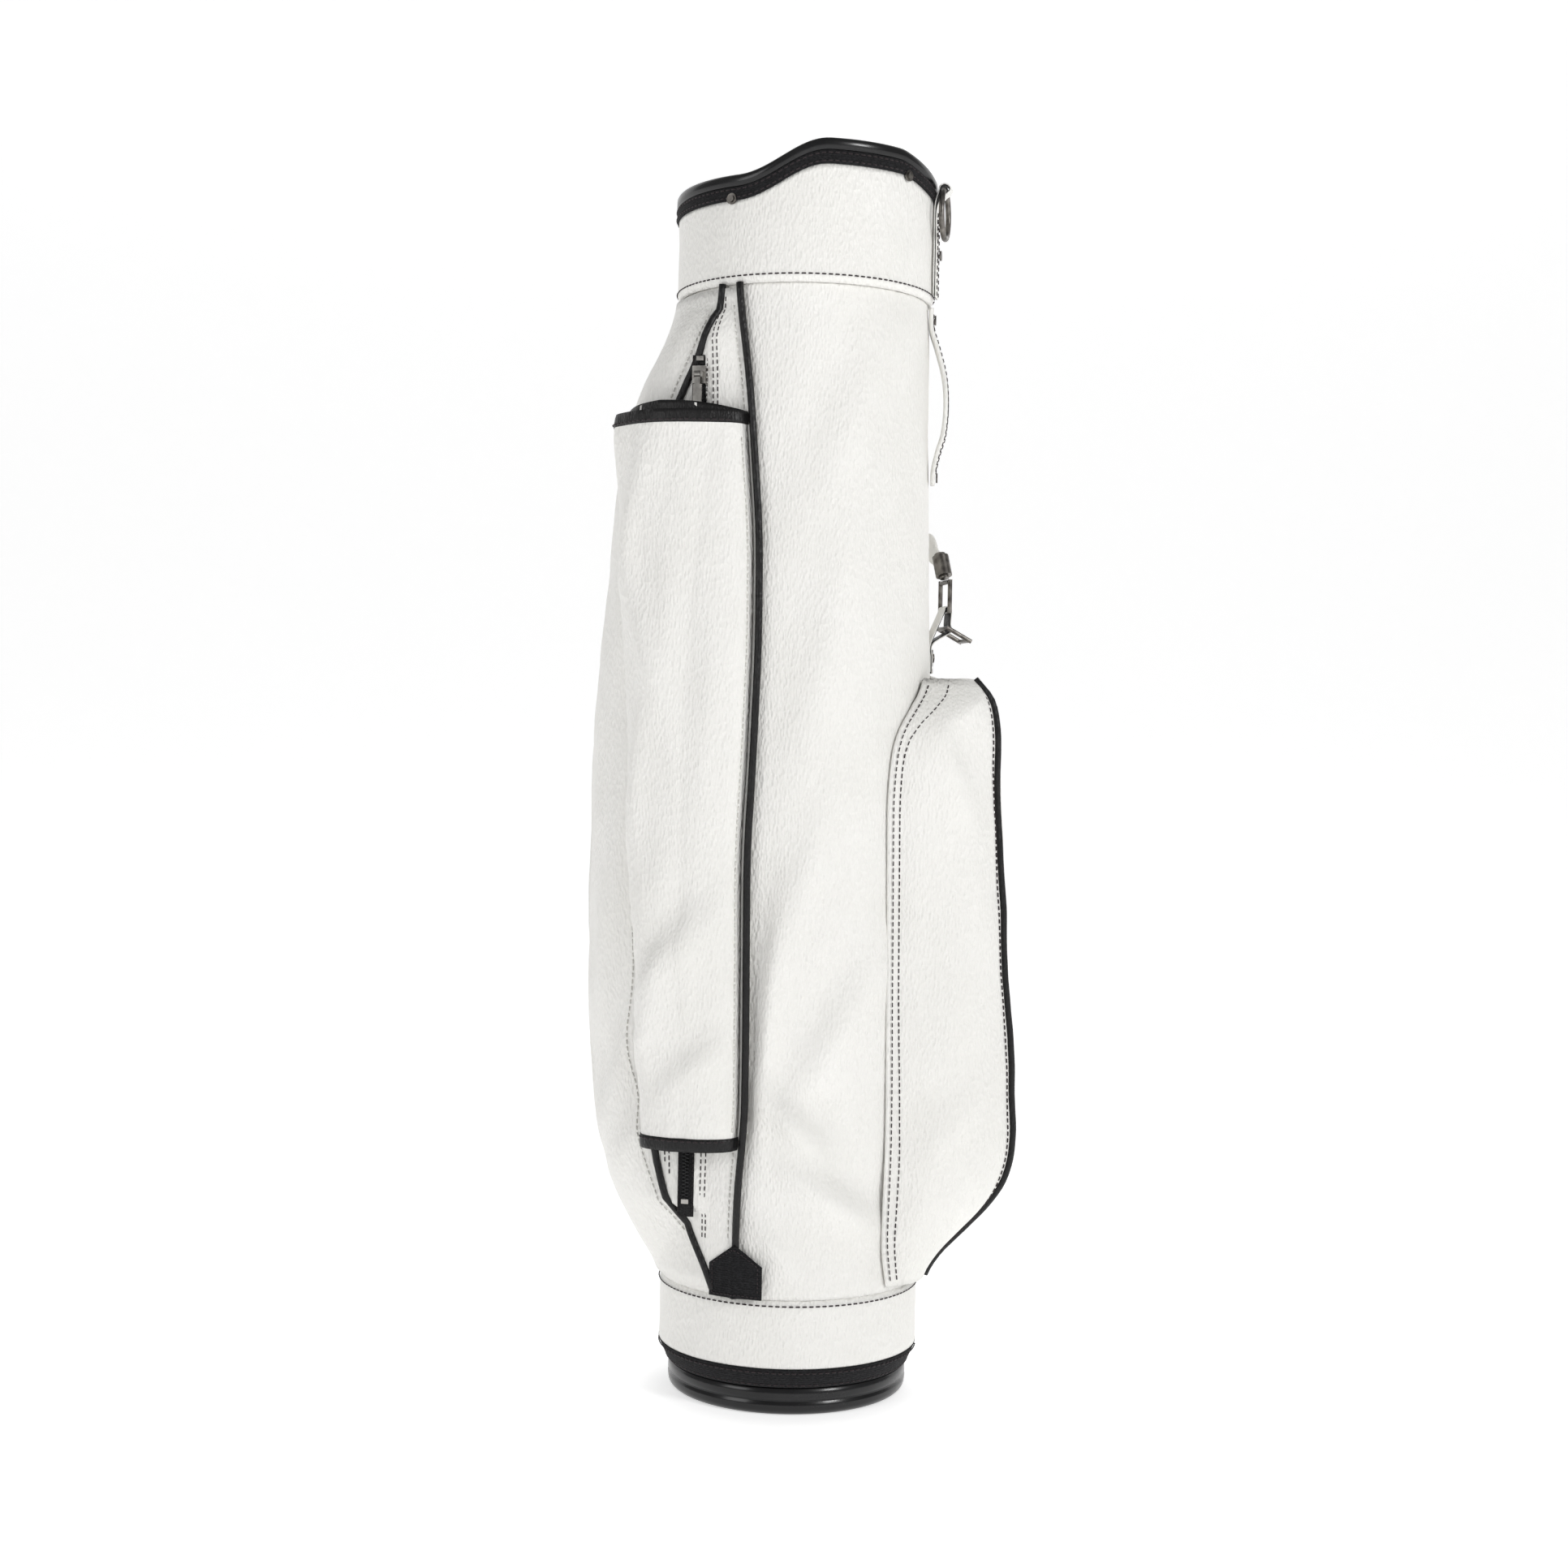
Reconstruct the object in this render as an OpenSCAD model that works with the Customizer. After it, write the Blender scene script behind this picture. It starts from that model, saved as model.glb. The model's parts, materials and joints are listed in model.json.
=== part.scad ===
// Slim carry golf bag, standing upright: round leatherette barrel, swooped top
// collar, big apparel pocket with an umbrella sleeve on one side, ball pocket on
// the other, one shoulder strap.
// Frame: origin at the centre of the base's underside, +Z up. The front is -Y,
// the apparel pocket is at -X, the ball pocket and the strap are at +X.

/* [Barrel] */
// Overall height, base to the highest point of the rim
bag_h = 864; // [800:1:920]
// Outer radius of the barrel where it meets the bottom cuff
barrel_r_low = 91; // [88:0.5:94]
// Outer radius of the barrel at its fullest
barrel_r_mid = 94; // [92:0.5:96]
// Outer radius of the barrel where it meets the top cuff
barrel_r_top = 87.5; // [86:0.5:90]
// Thickness of the lined leatherette wall
wall_t = 2.5; // [2:0.1:4]
// Outer radius of the two cuffs
cuff_r = 91.5; // [90:0.5:93]
// Height of the bottom cuff's lower edge
bottom_cuff_z = 33; // [30:1:36]
// Height of the barrel's lower edge
barrel_z0 = 80; // [76:1:84]
// Height of the barrel's upper edge
barrel_z1 = 767.5; // [764:0.5:770]

/* [Base] */
// Outer radius of the moulded base cup
base_r = 84; // [82:0.5:85]
// Radius of the rounding at the base cup's lower edge
base_round = 6; // [4:1:8]
// Height of the base cup's visible wall
base_h = 19; // [16:1:22]
// Height of the base cup's inner wall, which the bottom cuff is sewn round
base_liner_h = 70; // [60:1:74]

/* [Top collar] */
// How far the rim drops on the apparel pocket's side
rim_drop = 23; // [10:1:30]
// Where the rim starts to rise, along X
rim_low_x = -48; // [-60:1:-30]
// Where the rim reaches its full height, along X
rim_high_x = 15; // [0:1:30]
// Where the rim starts to fall again towards the strap's side, along X
rim_fall_x = 64; // [55:1:70]
// Drop of the rim at the strap's side
rim_side_drop = 10; // [6:1:14]
// Height of the collar's rounded lip
lip_h = 9; // [7:1:11]
// Height of the webbing band below the lip
rim_band_h = 9; // [7:1:12]
// Depth of the moulded collar inside the bag
collar_depth = 70; // [50:1:90]
// Width of the padded divider bars
divider_w = 11; // [8:1:14]
// Height of the divider bars
divider_h = 24; // [18:1:30]

/* [Stays] */
// Radius of a stay rod
stay_r = 4; // [3:0.5:4.5]
// Distance of the stay rods from the barrel's axis
stay_ring_r = 74; // [72:0.5:76]

/* [Apparel pocket] */
// Farthest reach of the apparel pocket from the barrel's axis
apparel_reach = 146; // [136:1:152]
// Height of the apparel pocket's lower end
apparel_z0 = 84; // [82:1:90]
// Height of the apparel pocket's upper end
apparel_z1 = 764; // [750:1:766]
// Half width of the apparel pocket, front to back
apparel_half_w = 74; // [70:0.5:76]
// Distance of the apparel zip from the barrel's axis, along X
zip_x = 71; // [66:0.5:76]
// Lower end of the apparel zip's chain
zip_z0 = 144; // [140:1:160]
// Upper end of the apparel zip's chain
zip_z1 = 714; // [708:1:716]
// Height of the zip slider as the bag is carried
slider_z = 704; // [690:1:706]

/* [Umbrella sleeve] */
// Lower edge of the umbrella sleeve
sleeve_z0 = 181; // [170:1:200]
// Upper edge of the umbrella sleeve
sleeve_z1 = 678; // [660:1:690]
// Height of the leather binding round the sleeve's openings
sleeve_binding_h = 9; // [7:1:11]

/* [Ball pocket] */
// Farthest reach of the ball pocket from the barrel's axis
ball_reach = 156; // [148:1:160]
// Lower end of the ball pocket
ball_z0 = 84; // [82:1:90]
// Upper end of the ball pocket
ball_z1 = 505; // [480:1:515]
// Half width of the ball pocket, front to back
ball_half_w = 62; // [58:1:66]

/* [Shoulder strap] */
// Width of the shoulder strap's pad
strap_w = 52; // [44:1:58]
// Thickness of the shoulder strap's pad
strap_t = 9; // [7:1:12]

/* [Hidden] */
$fn = 96;
white = "#EFEEEA";
black = "#1B1A1B";
antique = "#4A4440";
nickel = "#A9A49A";
gap = 0.2;
skin = 3;
piping_r = 2.5;
piping_lift = 1.3;
corner_power = 2.6;
lip_r = cuff_r + 1;
hinge_play = 0.06;

// The strap's swivel axis runs through the tops of the two strap rings
chape_angle = 12.9;
upper_chape_angle = 46.5;
axis_r = 107.7;
strap_low = [axis_r * cos(chape_angle), axis_r * sin(chape_angle), 573];
strap_high = [axis_r * cos(upper_chape_angle), axis_r * sin(upper_chape_angle), 738];
// The strap's hand-laid route from the lower swivel round the back to the upper
strap_route = [
    [98, 36.5, 592], [93, 52, 603], [84, 72, 592], [70, 92, 545], [52, 107, 485],
    [30, 120, 435], [8, 127, 412], [-12, 127, 440], [-20, 126, 520], [-14, 126, 600],
    [2, 123, 660], [20, 119, 696], [40, 111, 714], [56, 100, 722], [65, 90, 724], [69, 83.5, 725]
];

// O-ring at the collar's tab, and the handle, chapes and rings on the strap's side
tab_angle = -12;
ring_r = 17;
ring_wire_r = 2;
ring_z = 829;
handle_angle = -4;

// ---- Rules shared by the sub-parts ----

// Barrel radius at a height
function barrel_r(z) = lookup(z, [
    [barrel_z0, barrel_r_low], [300, barrel_r_mid], [500, barrel_r_mid], [barrel_z1, barrel_r_top]
]);

// Height of the rim above a place along X
function rim_rise(x) = let (t = min(1, max(0, (x - rim_low_x) / (rim_high_x - rim_low_x))))
    rim_drop * (1 - cos(180 * t)) / 2;
function rim_fall(x) = let (t = max(0, (x - rim_fall_x) / (cuff_r - rim_fall_x)))
    rim_side_drop * min(1, t);
function rim_z(x) = bag_h - rim_drop + rim_rise(x) - rim_fall(x);

// Reach of a pocket from the barrel's axis at a height, as a share of its fullest
function apparel_reach_at(z) = lookup(z, [
    [apparel_z0, 88], [106, 100], [125, 116], [145, 127], [175, apparel_reach - 11], [240,
        apparel_reach - 5],
    [350, apparel_reach], [520, apparel_reach - 3], [620, apparel_reach - 11],
    [660, 125], [695, 112], [735, 98], [apparel_z1, 86]
]);
function ball_reach_at(z) = lookup(z, [
    [ball_z0, 88], [100, 103], [120, 123], [143, 144], [165, ball_reach - 3], [185, ball_reach],
    [323, ball_reach - 10], [408, ball_reach - 14], [470, ball_reach - 16],
    [498, ball_reach - 24], [ball_z1, 100]
]);

// Radius of a pocket's rounded-box plan, at an angle from its middle
function box_r(a, reach, half_w) =
    pow(pow(abs(cos(a)) / reach, corner_power) + pow(abs(sin(a)) / half_w, corner_power),
        -1 / corner_power);

// A closed skin through rings of equally many points
module loft(rings) {
    n = len(rings[0]);
    m = len(rings);
    points = [for (ring = rings) each ring];
    sides = [for (i = [0:m - 2]) for (j = [0:n - 1]) let (k = (j + 1) % n)
        each [[i * n + j, (i + 1) * n + j, i * n + k], [i * n + k, (i + 1) * n + j, (i + 1) * n + k]]];
    top = (m - 1) * n;
    ends = [for (i = [0:n / 2 - 2]) each [[i, i + 1, n - 2 - i, n - 1 - i],
        [top + n - 1 - i, top + n - 2 - i, top + i + 1, top + i]]];
    polyhedron(points, concat(ends, sides), convexity = 10);
}

// The same with a hollow through it: an outer and an inner skin, joined at both ends
module tube_loft(outer, inner) {
    n = len(outer[0]);
    m = len(outer);
    points = concat([for (ring = outer) each ring], [for (ring = inner) each ring]);
    walls = [for (i = [0:m - 2]) for (j = [0:n - 1]) let (
        k = (j + 1) % n, a = i * n + j, b = a + n, c = i * n + k, d = c + n, w = m * n)
        each [[a, b, c], [c, b, d], [a + w, c + w, b + w], [c + w, d + w, b + w]]];
    ends = [for (j = [0:n - 1]) let (k = (j + 1) % n, w = m * n, t = (m - 1) * n)
        each [[j, k, k + w], [j, k + w, j + w], [j + t, k + t + w, k + t], [j + t, j + t + w, k + t + w]]];
    polyhedron(points, concat(walls, ends), convexity = 10);
}

// A flat-section sweep along a route, its thickness facing away from the barrel's axis
function route_tangent(p, i) = let (d = p[min(i + 1, len(p) - 1)] - p[max(i - 1, 0)]) d / norm(d);
function outward(p) = [p.x, p.y, 0] / norm([p.x, p.y]);
module flat_sweep(route, widths, thicks) {
    loft([for (i = [0:len(route) - 1]) let (
        t = route_tangent(route, i),
        w = cross(t, outward(route[i])) / norm(cross(t, outward(route[i]))),
        n = cross(w, t))
        [for (s = [[-1, -1], [-1, 1], [1, 1], [1, -1]])
            route[i] + w * s.x * widths[i] / 2 + n * s.y * thicks[i] / 2]]);
}

// A round cord through a route of points
module round_sweep(route, r, sides = 8) {
    loft([for (i = [0:len(route) - 1]) let (
        t = route_tangent(route, i), o = outward(route[i]),
        w = cross(t, o) / norm(cross(t, o)), n = cross(w, t))
        [for (k = [0:sides - 1]) route[i] + (w * cos(360 * k / sides) + n * sin(360 * k / sides)) * r]]);
}

// A polar point on the -X side (side = -1) or the +X side (side = 1)
function polar(side, a, r, z) = [side * r * cos(a), -r * sin(a), z];

// A ring-shaped wall from z0 to z1
module tube(r_out, r_in, z0, z1) {
    translate([0, 0, z0]) difference() {
        cylinder(r = r_out, h = z1 - z0);
        translate([0, 0, -1]) cylinder(r = r_in, h = z1 - z0 + 2);
    }
}

// Ring of points of a curved layer between two radii, across a fan of angles
function layer(side, a0, a1, n, z, r_in, r_out) = concat(
    [for (i = [0:n]) let (a = a0 + (a1 - a0) * i / n) polar(side, a, r_out[i], z)],
    [for (i = [n:-1:0]) let (a = a0 + (a1 - a0) * i / n) polar(side, a, r_in[i], z)]);

// ---- Base and barrel ----

base_liner_r = base_r - 3;

module base_cup() {
    color(black) rotate_extrude() polygon(concat(
        [[0, 0]],
        [for (a = [0:15:90]) [base_r - base_round + base_round * sin(a), base_round * (1 - cos(a))]],
        [[base_r, base_h], [base_liner_r, base_h], [base_liner_r, base_liner_h],
         [base_liner_r - 3, base_liner_h], [base_liner_r - 3, 4], [0, 4]]));
}

module base_pad() {
    color("dimgray") translate([0, 0, 4]) cylinder(r = base_liner_r - 3 - gap, h = 10);
}

module base_binding() {
    color(black) rotate_extrude() polygon([
        [base_liner_r + gap, base_h], [base_r, base_h], [cuff_r + 0.5, bottom_cuff_z],
        [base_liner_r + gap, bottom_cuff_z]]);
}

module bottom_cuff() {
    color(white) tube(cuff_r, base_liner_r + gap, bottom_cuff_z, barrel_z0);
}

module barrel_shell() {
    color(white) rotate_extrude() polygon([
        [barrel_r_low, barrel_z0], [barrel_r_mid, 300], [barrel_r_mid, 500], [barrel_r_top, barrel_z1],
        [barrel_r_top - wall_t, barrel_z1], [barrel_r_mid - wall_t, 500], [barrel_r_mid - wall_t, 300],
        [barrel_r_low - wall_t, barrel_z0]]);
}

// ---- Stays ----

rod_z0 = 14;
rod_z1 = 800;
socket_wall = 2;

module at_rods() {
    for (a = [45:90:315]) rotate([0, 0, a]) translate([stay_ring_r - socket_wall - 0.6, 0, 0]) children();
}
module rod_socket(z0, z1) {
    at_rods() translate([0, 0, z0]) difference() {
        cylinder(r = stay_r + gap + socket_wall, h = z1 - z0);
        translate([0, 0, -1]) cylinder(r = stay_r + gap, h = z1 - z0 + 2);
    }
}
module stay_rods() { color("#3C3F42") at_rods() translate([0, 0, rod_z0]) cylinder(r = stay_r, h = rod_z1 - rod_z0); }
module base_rod_sockets() { color(black) rod_socket(rod_z0, rod_z0 + 40); }
module collar_rod_sockets() { color(black) rod_socket(rod_z1 - 40, rod_z1); }

// ---- Top collar ----

// Everything below the rim's line, lowered by a drop
module under_rim(drop) {
    translate([0, cuff_r + 10, 0]) rotate([90, 0, 0]) linear_extrude(2 * cuff_r + 20)
        polygon(concat([[-cuff_r - 10, barrel_z1 - 5]],
            [[cuff_r + 10, barrel_z1 - 5], [cuff_r + 10, rim_z(cuff_r) - drop]],
            [for (x = [cuff_r:-6:-cuff_r]) [x, rim_z(x) - drop]],
            [[-cuff_r - 10, rim_z(-cuff_r) - drop]]));
}
module rim_band(r_out, r_in, drop_top, drop_low, z0) {
    difference() {
        intersection() {
            tube(r_out, r_in, z0, bag_h + 5);
            under_rim(drop_top);
        }
        if (drop_low > 0) under_rim(drop_low);
    }
}
collar_r = cuff_r - wall_t - gap;
module top_cuff() {
    color(white) intersection() {
        tube(cuff_r, cuff_r - wall_t, barrel_z1, bag_h);
        under_rim(lip_h + rim_band_h);
    }
}
module top_webbing_band() { color(black) rim_band(cuff_r + 0.6, cuff_r - wall_t, lip_h,
    lip_h + rim_band_h, barrel_z1 + 1); }
module top_collar() {
    color(black) {
        rim_band(lip_r, collar_r - 3, 0, lip_h, barrel_z1 + 1);
        intersection() {
            tube(collar_r, collar_r - 3, bag_h - collar_depth, bag_h);
            under_rim(lip_h);
        }
    }
}

// ---- Club divider ----

divider_top = bag_h - rim_drop - lip_h;
divider_reach = collar_r - 3 - gap;
module divider_cross_bar() {
    color(black) intersection() {
        translate([-divider_w / 2, -divider_reach, divider_top - divider_h]) cube([divider_w,
            2 * divider_reach, divider_h]);
        cylinder(r = divider_reach, h = bag_h);
    }
}
module divider_half_bar() {
    color(black) intersection() {
        translate([divider_w / 2, -divider_w / 2, divider_top - divider_h]) cube([divider_reach,
            divider_w, divider_h]);
        cylinder(r = divider_reach, h = bag_h);
    }
}

snap_r = 3.8;
// Studs on the border of the top cuff and its webbing band
module cuff_snap_studs() {
    color(antique) for (a = [-34, 48, 132, 214]) rotate([0, 0, a - 90])
        translate([cuff_r + 0.8, 0, rim_z(cuff_r * sin(a)) - lip_h - rim_band_h + 1]) rotate([0, 90, 0]) {
            cylinder(r = snap_r, h = 1.2);
            cylinder(r = snap_r - 1.4, h = 2.4);
        }
}

// ---- Apparel pocket ----

zip_y = apparel_half_w - 2;
zip_top_z = 743;
apparel_levels = [apparel_z0, 92, 106, 125, zip_z0 - 4, 175, 240, 300, 350, 500, 520, 620, 660, 695, 720,
    735, 744, 752, apparel_z1];
apparel_span = 70;
// Half width of the pocket's plan, which holds the zip's line straight and upright
function apparel_half(z) = let (reach = apparel_reach_at(z))
    z < zip_z0 - 5 ? lookup(z, [[apparel_z0, 50], [zip_z0 - 5, 77]])
    : z > zip_top_z ? lookup(z, [[zip_top_z, 88], [apparel_z1, 60]])
    : zip_y / pow(1 - pow(zip_x / reach, corner_power), 1 / corner_power);
function pocket_r(a, z) = max(barrel_r(z) + skin, box_r(a, apparel_reach_at(z), apparel_half(z)));

// Angle of the line where the pocket's outer panel meets its gussets
function apparel_edge_a(z) = lookup(z, [
    [apparel_z0, 52], [106, 45], [125, 39], [145, 34.5], [175, 33], [240, 31], [620, 31],
    [695, 33.5], [720, 37], [735, 43], [apparel_z1, 49]
]);
// A sewn panel of the pocket, between two shares of each side: -2 is the rear seam,
// -1 the rear edge, 1 the front edge and 2 the front seam
seam_gap = 0.15;
function apparel_a(share, z) = sign(share) * (abs(share) == 2 ? apparel_span : apparel_edge_a(z));
module apparel_panel(from, to, steps) {
    color(white) loft([for (z = apparel_levels) let (
        closed = z == apparel_z0 || z == apparel_z1,
        a0 = apparel_a(from, z) + seam_gap,
        a1 = apparel_a(to, z) - seam_gap,
        outer = [for (i = [0:steps]) pocket_r(a0 + (a1 - a0) * i / steps, z)],
        inner = [for (r = outer) closed ? barrel_r(z) + gap : max(barrel_r(z) + gap, r - wall_t)])
        layer(-1, a0, a1, steps, z, inner, outer)]);
}
module apparel_front_gusset() { apparel_panel(1, 2, 9); }
module apparel_rear_gusset() { apparel_panel(-2, -1, 9); }
module apparel_outer_panel() { apparel_panel(-1, 1, 14); }

module seam_piping(side, a, z0, z1) {
    color(black) round_sweep([for (z = [z0, 300, 500, z1]) polar(side, a, barrel_r(z) + piping_r + gap,
        z)], piping_r);
}
module front_seam_piping() { seam_piping(-1, apparel_span + 2.5, 118, apparel_z1); }
module rear_seam_piping() { seam_piping(-1, -apparel_span - 2.5, 118, apparel_z1); }

module edge_piping(side) {
    color(black) round_sweep([for (z = apparel_levels) if (z > apparel_z0 && z < apparel_z1)
        let (a = side * apparel_edge_a(z)) polar(-1, a, pocket_r(a, z) + piping_r + piping_lift, z)],
            piping_r);
}
module front_edge_piping() { edge_piping(1); }
module rear_edge_piping() { edge_piping(-1); }

patch_w = 34;
module piping_end_patches() {
    color(black) for (s = [-1, 1]) rotate([0, 0, 180 + s * (apparel_span + 2.5)])
        translate([barrel_r_low + skin + 0.5, 0, apparel_z0]) rotate([90, 0, 90]) linear_extrude(1.4)
            polygon([[-patch_w / 2, 0], [patch_w / 2, 0], [patch_w / 2, 20], [0, 33], [-patch_w / 2, 20]]);
}

// ---- Zips ----

tape_w = 11;
tape_t = 1;
teeth_w = 5;
teeth_t = 1.6;
slider_w = 9;
slider_h = 12;
slider_t = 4.2;
bridge_r = 1.2;
bridge_lift = 2.6;
puller_t = 1.6;
puller_l = 22;
puller_w = 6;

// The zips are drawn lying along +Z, facing -Y, with the tape's back at y = 0
module zip_tape(z0, z1) { color(black) translate([-tape_w / 2, -tape_t, z0 - 12]) cube([tape_w, tape_t,
    z1 - z0 + 16]); }
module zip_teeth(z0, z1) { color(black) translate([-teeth_w / 2, -tape_t - teeth_t, z0]) cube([teeth_w,
    teeth_t, z1 - z0]); }
module zip_slider(z) {
    color(nickel) translate([0, -tape_t - hinge_play * 4, z]) {
        difference() {
            translate([-slider_w / 2, -slider_t, -slider_h / 2]) cube([slider_w, slider_t, slider_h]);
            translate([-teeth_w / 2 - 0.4, -teeth_t - 0.4, -slider_h]) cube([teeth_w + 0.8, teeth_t + 1,
                2 * slider_h]);
        }
        for (s = [-1, 1]) translate([s * 2.8 - 0.7, -slider_t - bridge_lift - 1.4, -2]) cube([1.4,
            bridge_lift + 1.6, 4]);
        translate([-3, -slider_t - bridge_lift, 0]) rotate([0, 90, 0]) cylinder(r = bridge_r, h = 6);
    }
}
module zip_puller(z) {
    color(nickel) translate([0, -tape_t - hinge_play * 4 - slider_t - bridge_lift, z]) {
        difference() {
            union() {
                rotate([0, 90, 0]) translate([0, 0, -1.8]) cylinder(r = bridge_r + 1, h = 3.6);
                translate([-1.8, -puller_t / 2, -8]) cube([3.6, puller_t, 7]);
                translate([-puller_w / 2, -puller_t / 2, -puller_l]) cube([puller_w, puller_t,
                    puller_l - 7]);
            }
            rotate([0, 90, 0]) translate([0, 0, -5]) cylinder(r = bridge_r + hinge_play, h = 10);
        }
    }
}
module at_apparel_zip() { translate([-zip_x, -zip_y - 2, 0]) rotate([0, 0, -12]) children(); }
module apparel_zip_tape() { at_apparel_zip() zip_tape(zip_z0, zip_z1); }
module apparel_zip_teeth() { at_apparel_zip() zip_teeth(zip_z0, zip_z1); }
module apparel_zip_stops() {
    color(nickel) at_apparel_zip() for (z = [zip_z0 - 3, zip_z1])
        translate([-teeth_w / 2, -tape_t - teeth_t, z]) cube([teeth_w, teeth_t, 3]);
}
module apparel_zip_slider() { at_apparel_zip() zip_slider(slider_z); }
module apparel_zip_puller() { at_apparel_zip() zip_puller(slider_z); }

// ---- Umbrella sleeve ----

sleeve_a0 = 24;
sleeve_a1 = 67;
sleeve_steps = 14;
sleeve_t = 1.6;
sleeve_back = 17;
sleeve_front = 35;
function crown(i) = pow(sin(180 * i / sleeve_steps), 0.6);
function sleeve_point(i, z, lift) = let (a = sleeve_a0 + (sleeve_a1 - sleeve_a0) * i / sleeve_steps)
    polar(-1, a, pocket_r(a, z) + gap + lift, z);
// One level of a layer of the sleeve, between two shares of its width
function sleeve_ring(z, i0, i1, back, back_lift, front_lift) = let (step = (i1 - i0) / sleeve_steps) concat(
    [for (k = [0:sleeve_steps]) let (i = i0 + k * step) sleeve_point(i, z, sleeve_front * crown(i)
        + front_lift)],
    [for (k = [sleeve_steps:-1:0]) let (i = i0 + k * step) sleeve_point(i, z, back * crown(i)
        + back_lift)]);
sleeve_levels = [sleeve_z0, sleeve_z0 + sleeve_binding_h, 240, 300, 350, 500, 520, 620, 660,
    sleeve_z1 - sleeve_binding_h, sleeve_z1];
module umbrella_sleeve() {
    color(white) tube_loft(
        [for (z = sleeve_levels) sleeve_ring(z, 0, sleeve_steps, sleeve_back, 0, 2)],
        [for (z = sleeve_levels) sleeve_ring(z, 1, sleeve_steps - 1, sleeve_back, sleeve_t, 2 - sleeve_t)]);
}
module sleeve_binding(z) {
    color(black) loft([for (level = [z, z + sleeve_binding_h])
        sleeve_ring(level, 0, sleeve_steps, sleeve_front, 2 + gap, 2 + gap + 1.2)]);
}
module sleeve_top_binding() { sleeve_binding(sleeve_z1 - sleeve_binding_h); }
module sleeve_bottom_binding() { sleeve_binding(sleeve_z0); }

// ---- Ball pocket ----

ball_levels = [ball_z0, 92, 100, 120, 143, 165, 185, 240, 300, 323, 408, 470, 498, ball_z1];
ball_span = 48;
ball_zip_x = 105;
ball_zip_z0 = 170;
ball_zip_z1 = 470;
ball_slider_z = 452;
ball_edge_angle = 14;
ball_zip_y = (ball_half_w + 3) * pow(1 - pow(ball_zip_x / ball_reach, corner_power), 1 / corner_power);
function ball_pocket_r(a, z) = max(barrel_r(z) + skin, box_r(a, ball_reach_at(z), ball_half_w + 3));

module ball_panel(a0, a1, steps) {
    color(white) loft([for (z = ball_levels) let (
        closed = z == ball_z0 || z == ball_z1,
        outer = [for (i = [0:steps]) ball_pocket_r(a0 + (a1 - a0) * i / steps, z)],
        inner = [for (r = outer) closed ? barrel_r(z) + gap : max(barrel_r(z) + gap, r - wall_t)])
        layer(1, a0, a1, steps, z, inner, outer)]);
}
module ball_front_gusset() { ball_panel(ball_edge_angle + seam_gap, ball_span, 8); }
module ball_rear_gusset() { ball_panel(-ball_span, -ball_edge_angle - seam_gap, 8); }
module ball_outer_panel() { ball_panel(-ball_edge_angle + seam_gap, ball_edge_angle - seam_gap, 7); }
module ball_piping(a) {
    color(black) round_sweep([for (z = ball_levels) if (z > ball_z0 && z < ball_z1)
        polar(1, a, ball_pocket_r(a, z) + piping_r + piping_lift, z)], piping_r);
}
module ball_front_piping() { ball_piping(ball_edge_angle); }
module ball_rear_piping() { ball_piping(-ball_edge_angle); }

module at_ball_zip() { translate([ball_zip_x, ball_zip_y + 2, 0]) rotate([0, 0, 155]) children(); }
module ball_zip_tape() { at_ball_zip() zip_tape(ball_zip_z0, ball_zip_z1); }
module ball_zip_teeth() { at_ball_zip() zip_teeth(ball_zip_z0, ball_zip_z1); }
module ball_zip_slider() { at_ball_zip() zip_slider(ball_slider_z); }
module ball_zip_puller() { at_ball_zip() zip_puller(ball_slider_z); }

// ---- Strap side: tab, rings, handle, chapes ----

module on_side(a) { rotate([0, 0, a]) children(); }

tab_t = 2;
// A leather tab folded over a bar, drawn in the plane through the barrel's axis:
// both layers sewn flat from z_foot to z_sewn, then leaning out to the eye
module folded_tab(r_foot, z_foot, z_sewn, r_eye, z_eye, eye_r, w) {
    rotate([90, 0, 0]) linear_extrude(w, center = true) difference() {
        union() {
            polygon([[r_foot, z_foot], [r_foot + 2 * tab_t, z_foot], [r_foot + 2 * tab_t, z_sewn],
                [r_eye + eye_r + tab_t, z_eye], [r_eye - eye_r - tab_t, z_eye], [r_foot, z_sewn]]);
            translate([r_eye, z_eye]) circle(eye_r + tab_t);
        }
        translate([r_eye, z_eye]) circle(eye_r);
    }
}
module rivet(r_face, z, y = 0) { translate([r_face, y, z]) rotate([0, 90, 0]) cylinder(r = 3.5, h = 1.2); }

// Towel ring at the collar
ring_eye_r = ring_wire_r + 1;
ring_axis_r = 99;
ring_axis_z = ring_z + ring_r - 0.5;
module ring_tab() {
    color(white) on_side(tab_angle)
        folded_tab(cuff_r + 2 * gap, 772, ring_axis_z - 12, ring_axis_r, ring_axis_z, ring_eye_r, 11);
}
module ring_tab_rivet() { color(antique) on_side(tab_angle) rivet(cuff_r + 2 * gap + 2 * tab_t, 800); }
module towel_ring() {
    color(antique) on_side(tab_angle) translate([ring_axis_r, 0, ring_z]) rotate([0, 90, 0])
        rotate_extrude() translate([ring_r, 0]) circle(ring_wire_r, $fn = 24);
}

// Grab handle
handle_w = 22;
handle_t = 3;
handle_route = [
    [89.8, 764], [90, 750], [94, 737], [99.5, 716], [101, 695], [99.5, 676], [95.8, 663], [93, 650],
        [92.6, 640]
];
module carry_handle() {
    color(white) on_side(handle_angle) flat_sweep([for (p = handle_route) [p.x, 0, p.y]],
        [for (p = handle_route) handle_w], [for (p = handle_route) handle_t]);
}
module handle_rivets() { color(antique) on_side(handle_angle) { rivet(92, 757); rivet(94.9, 645); } }

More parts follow.
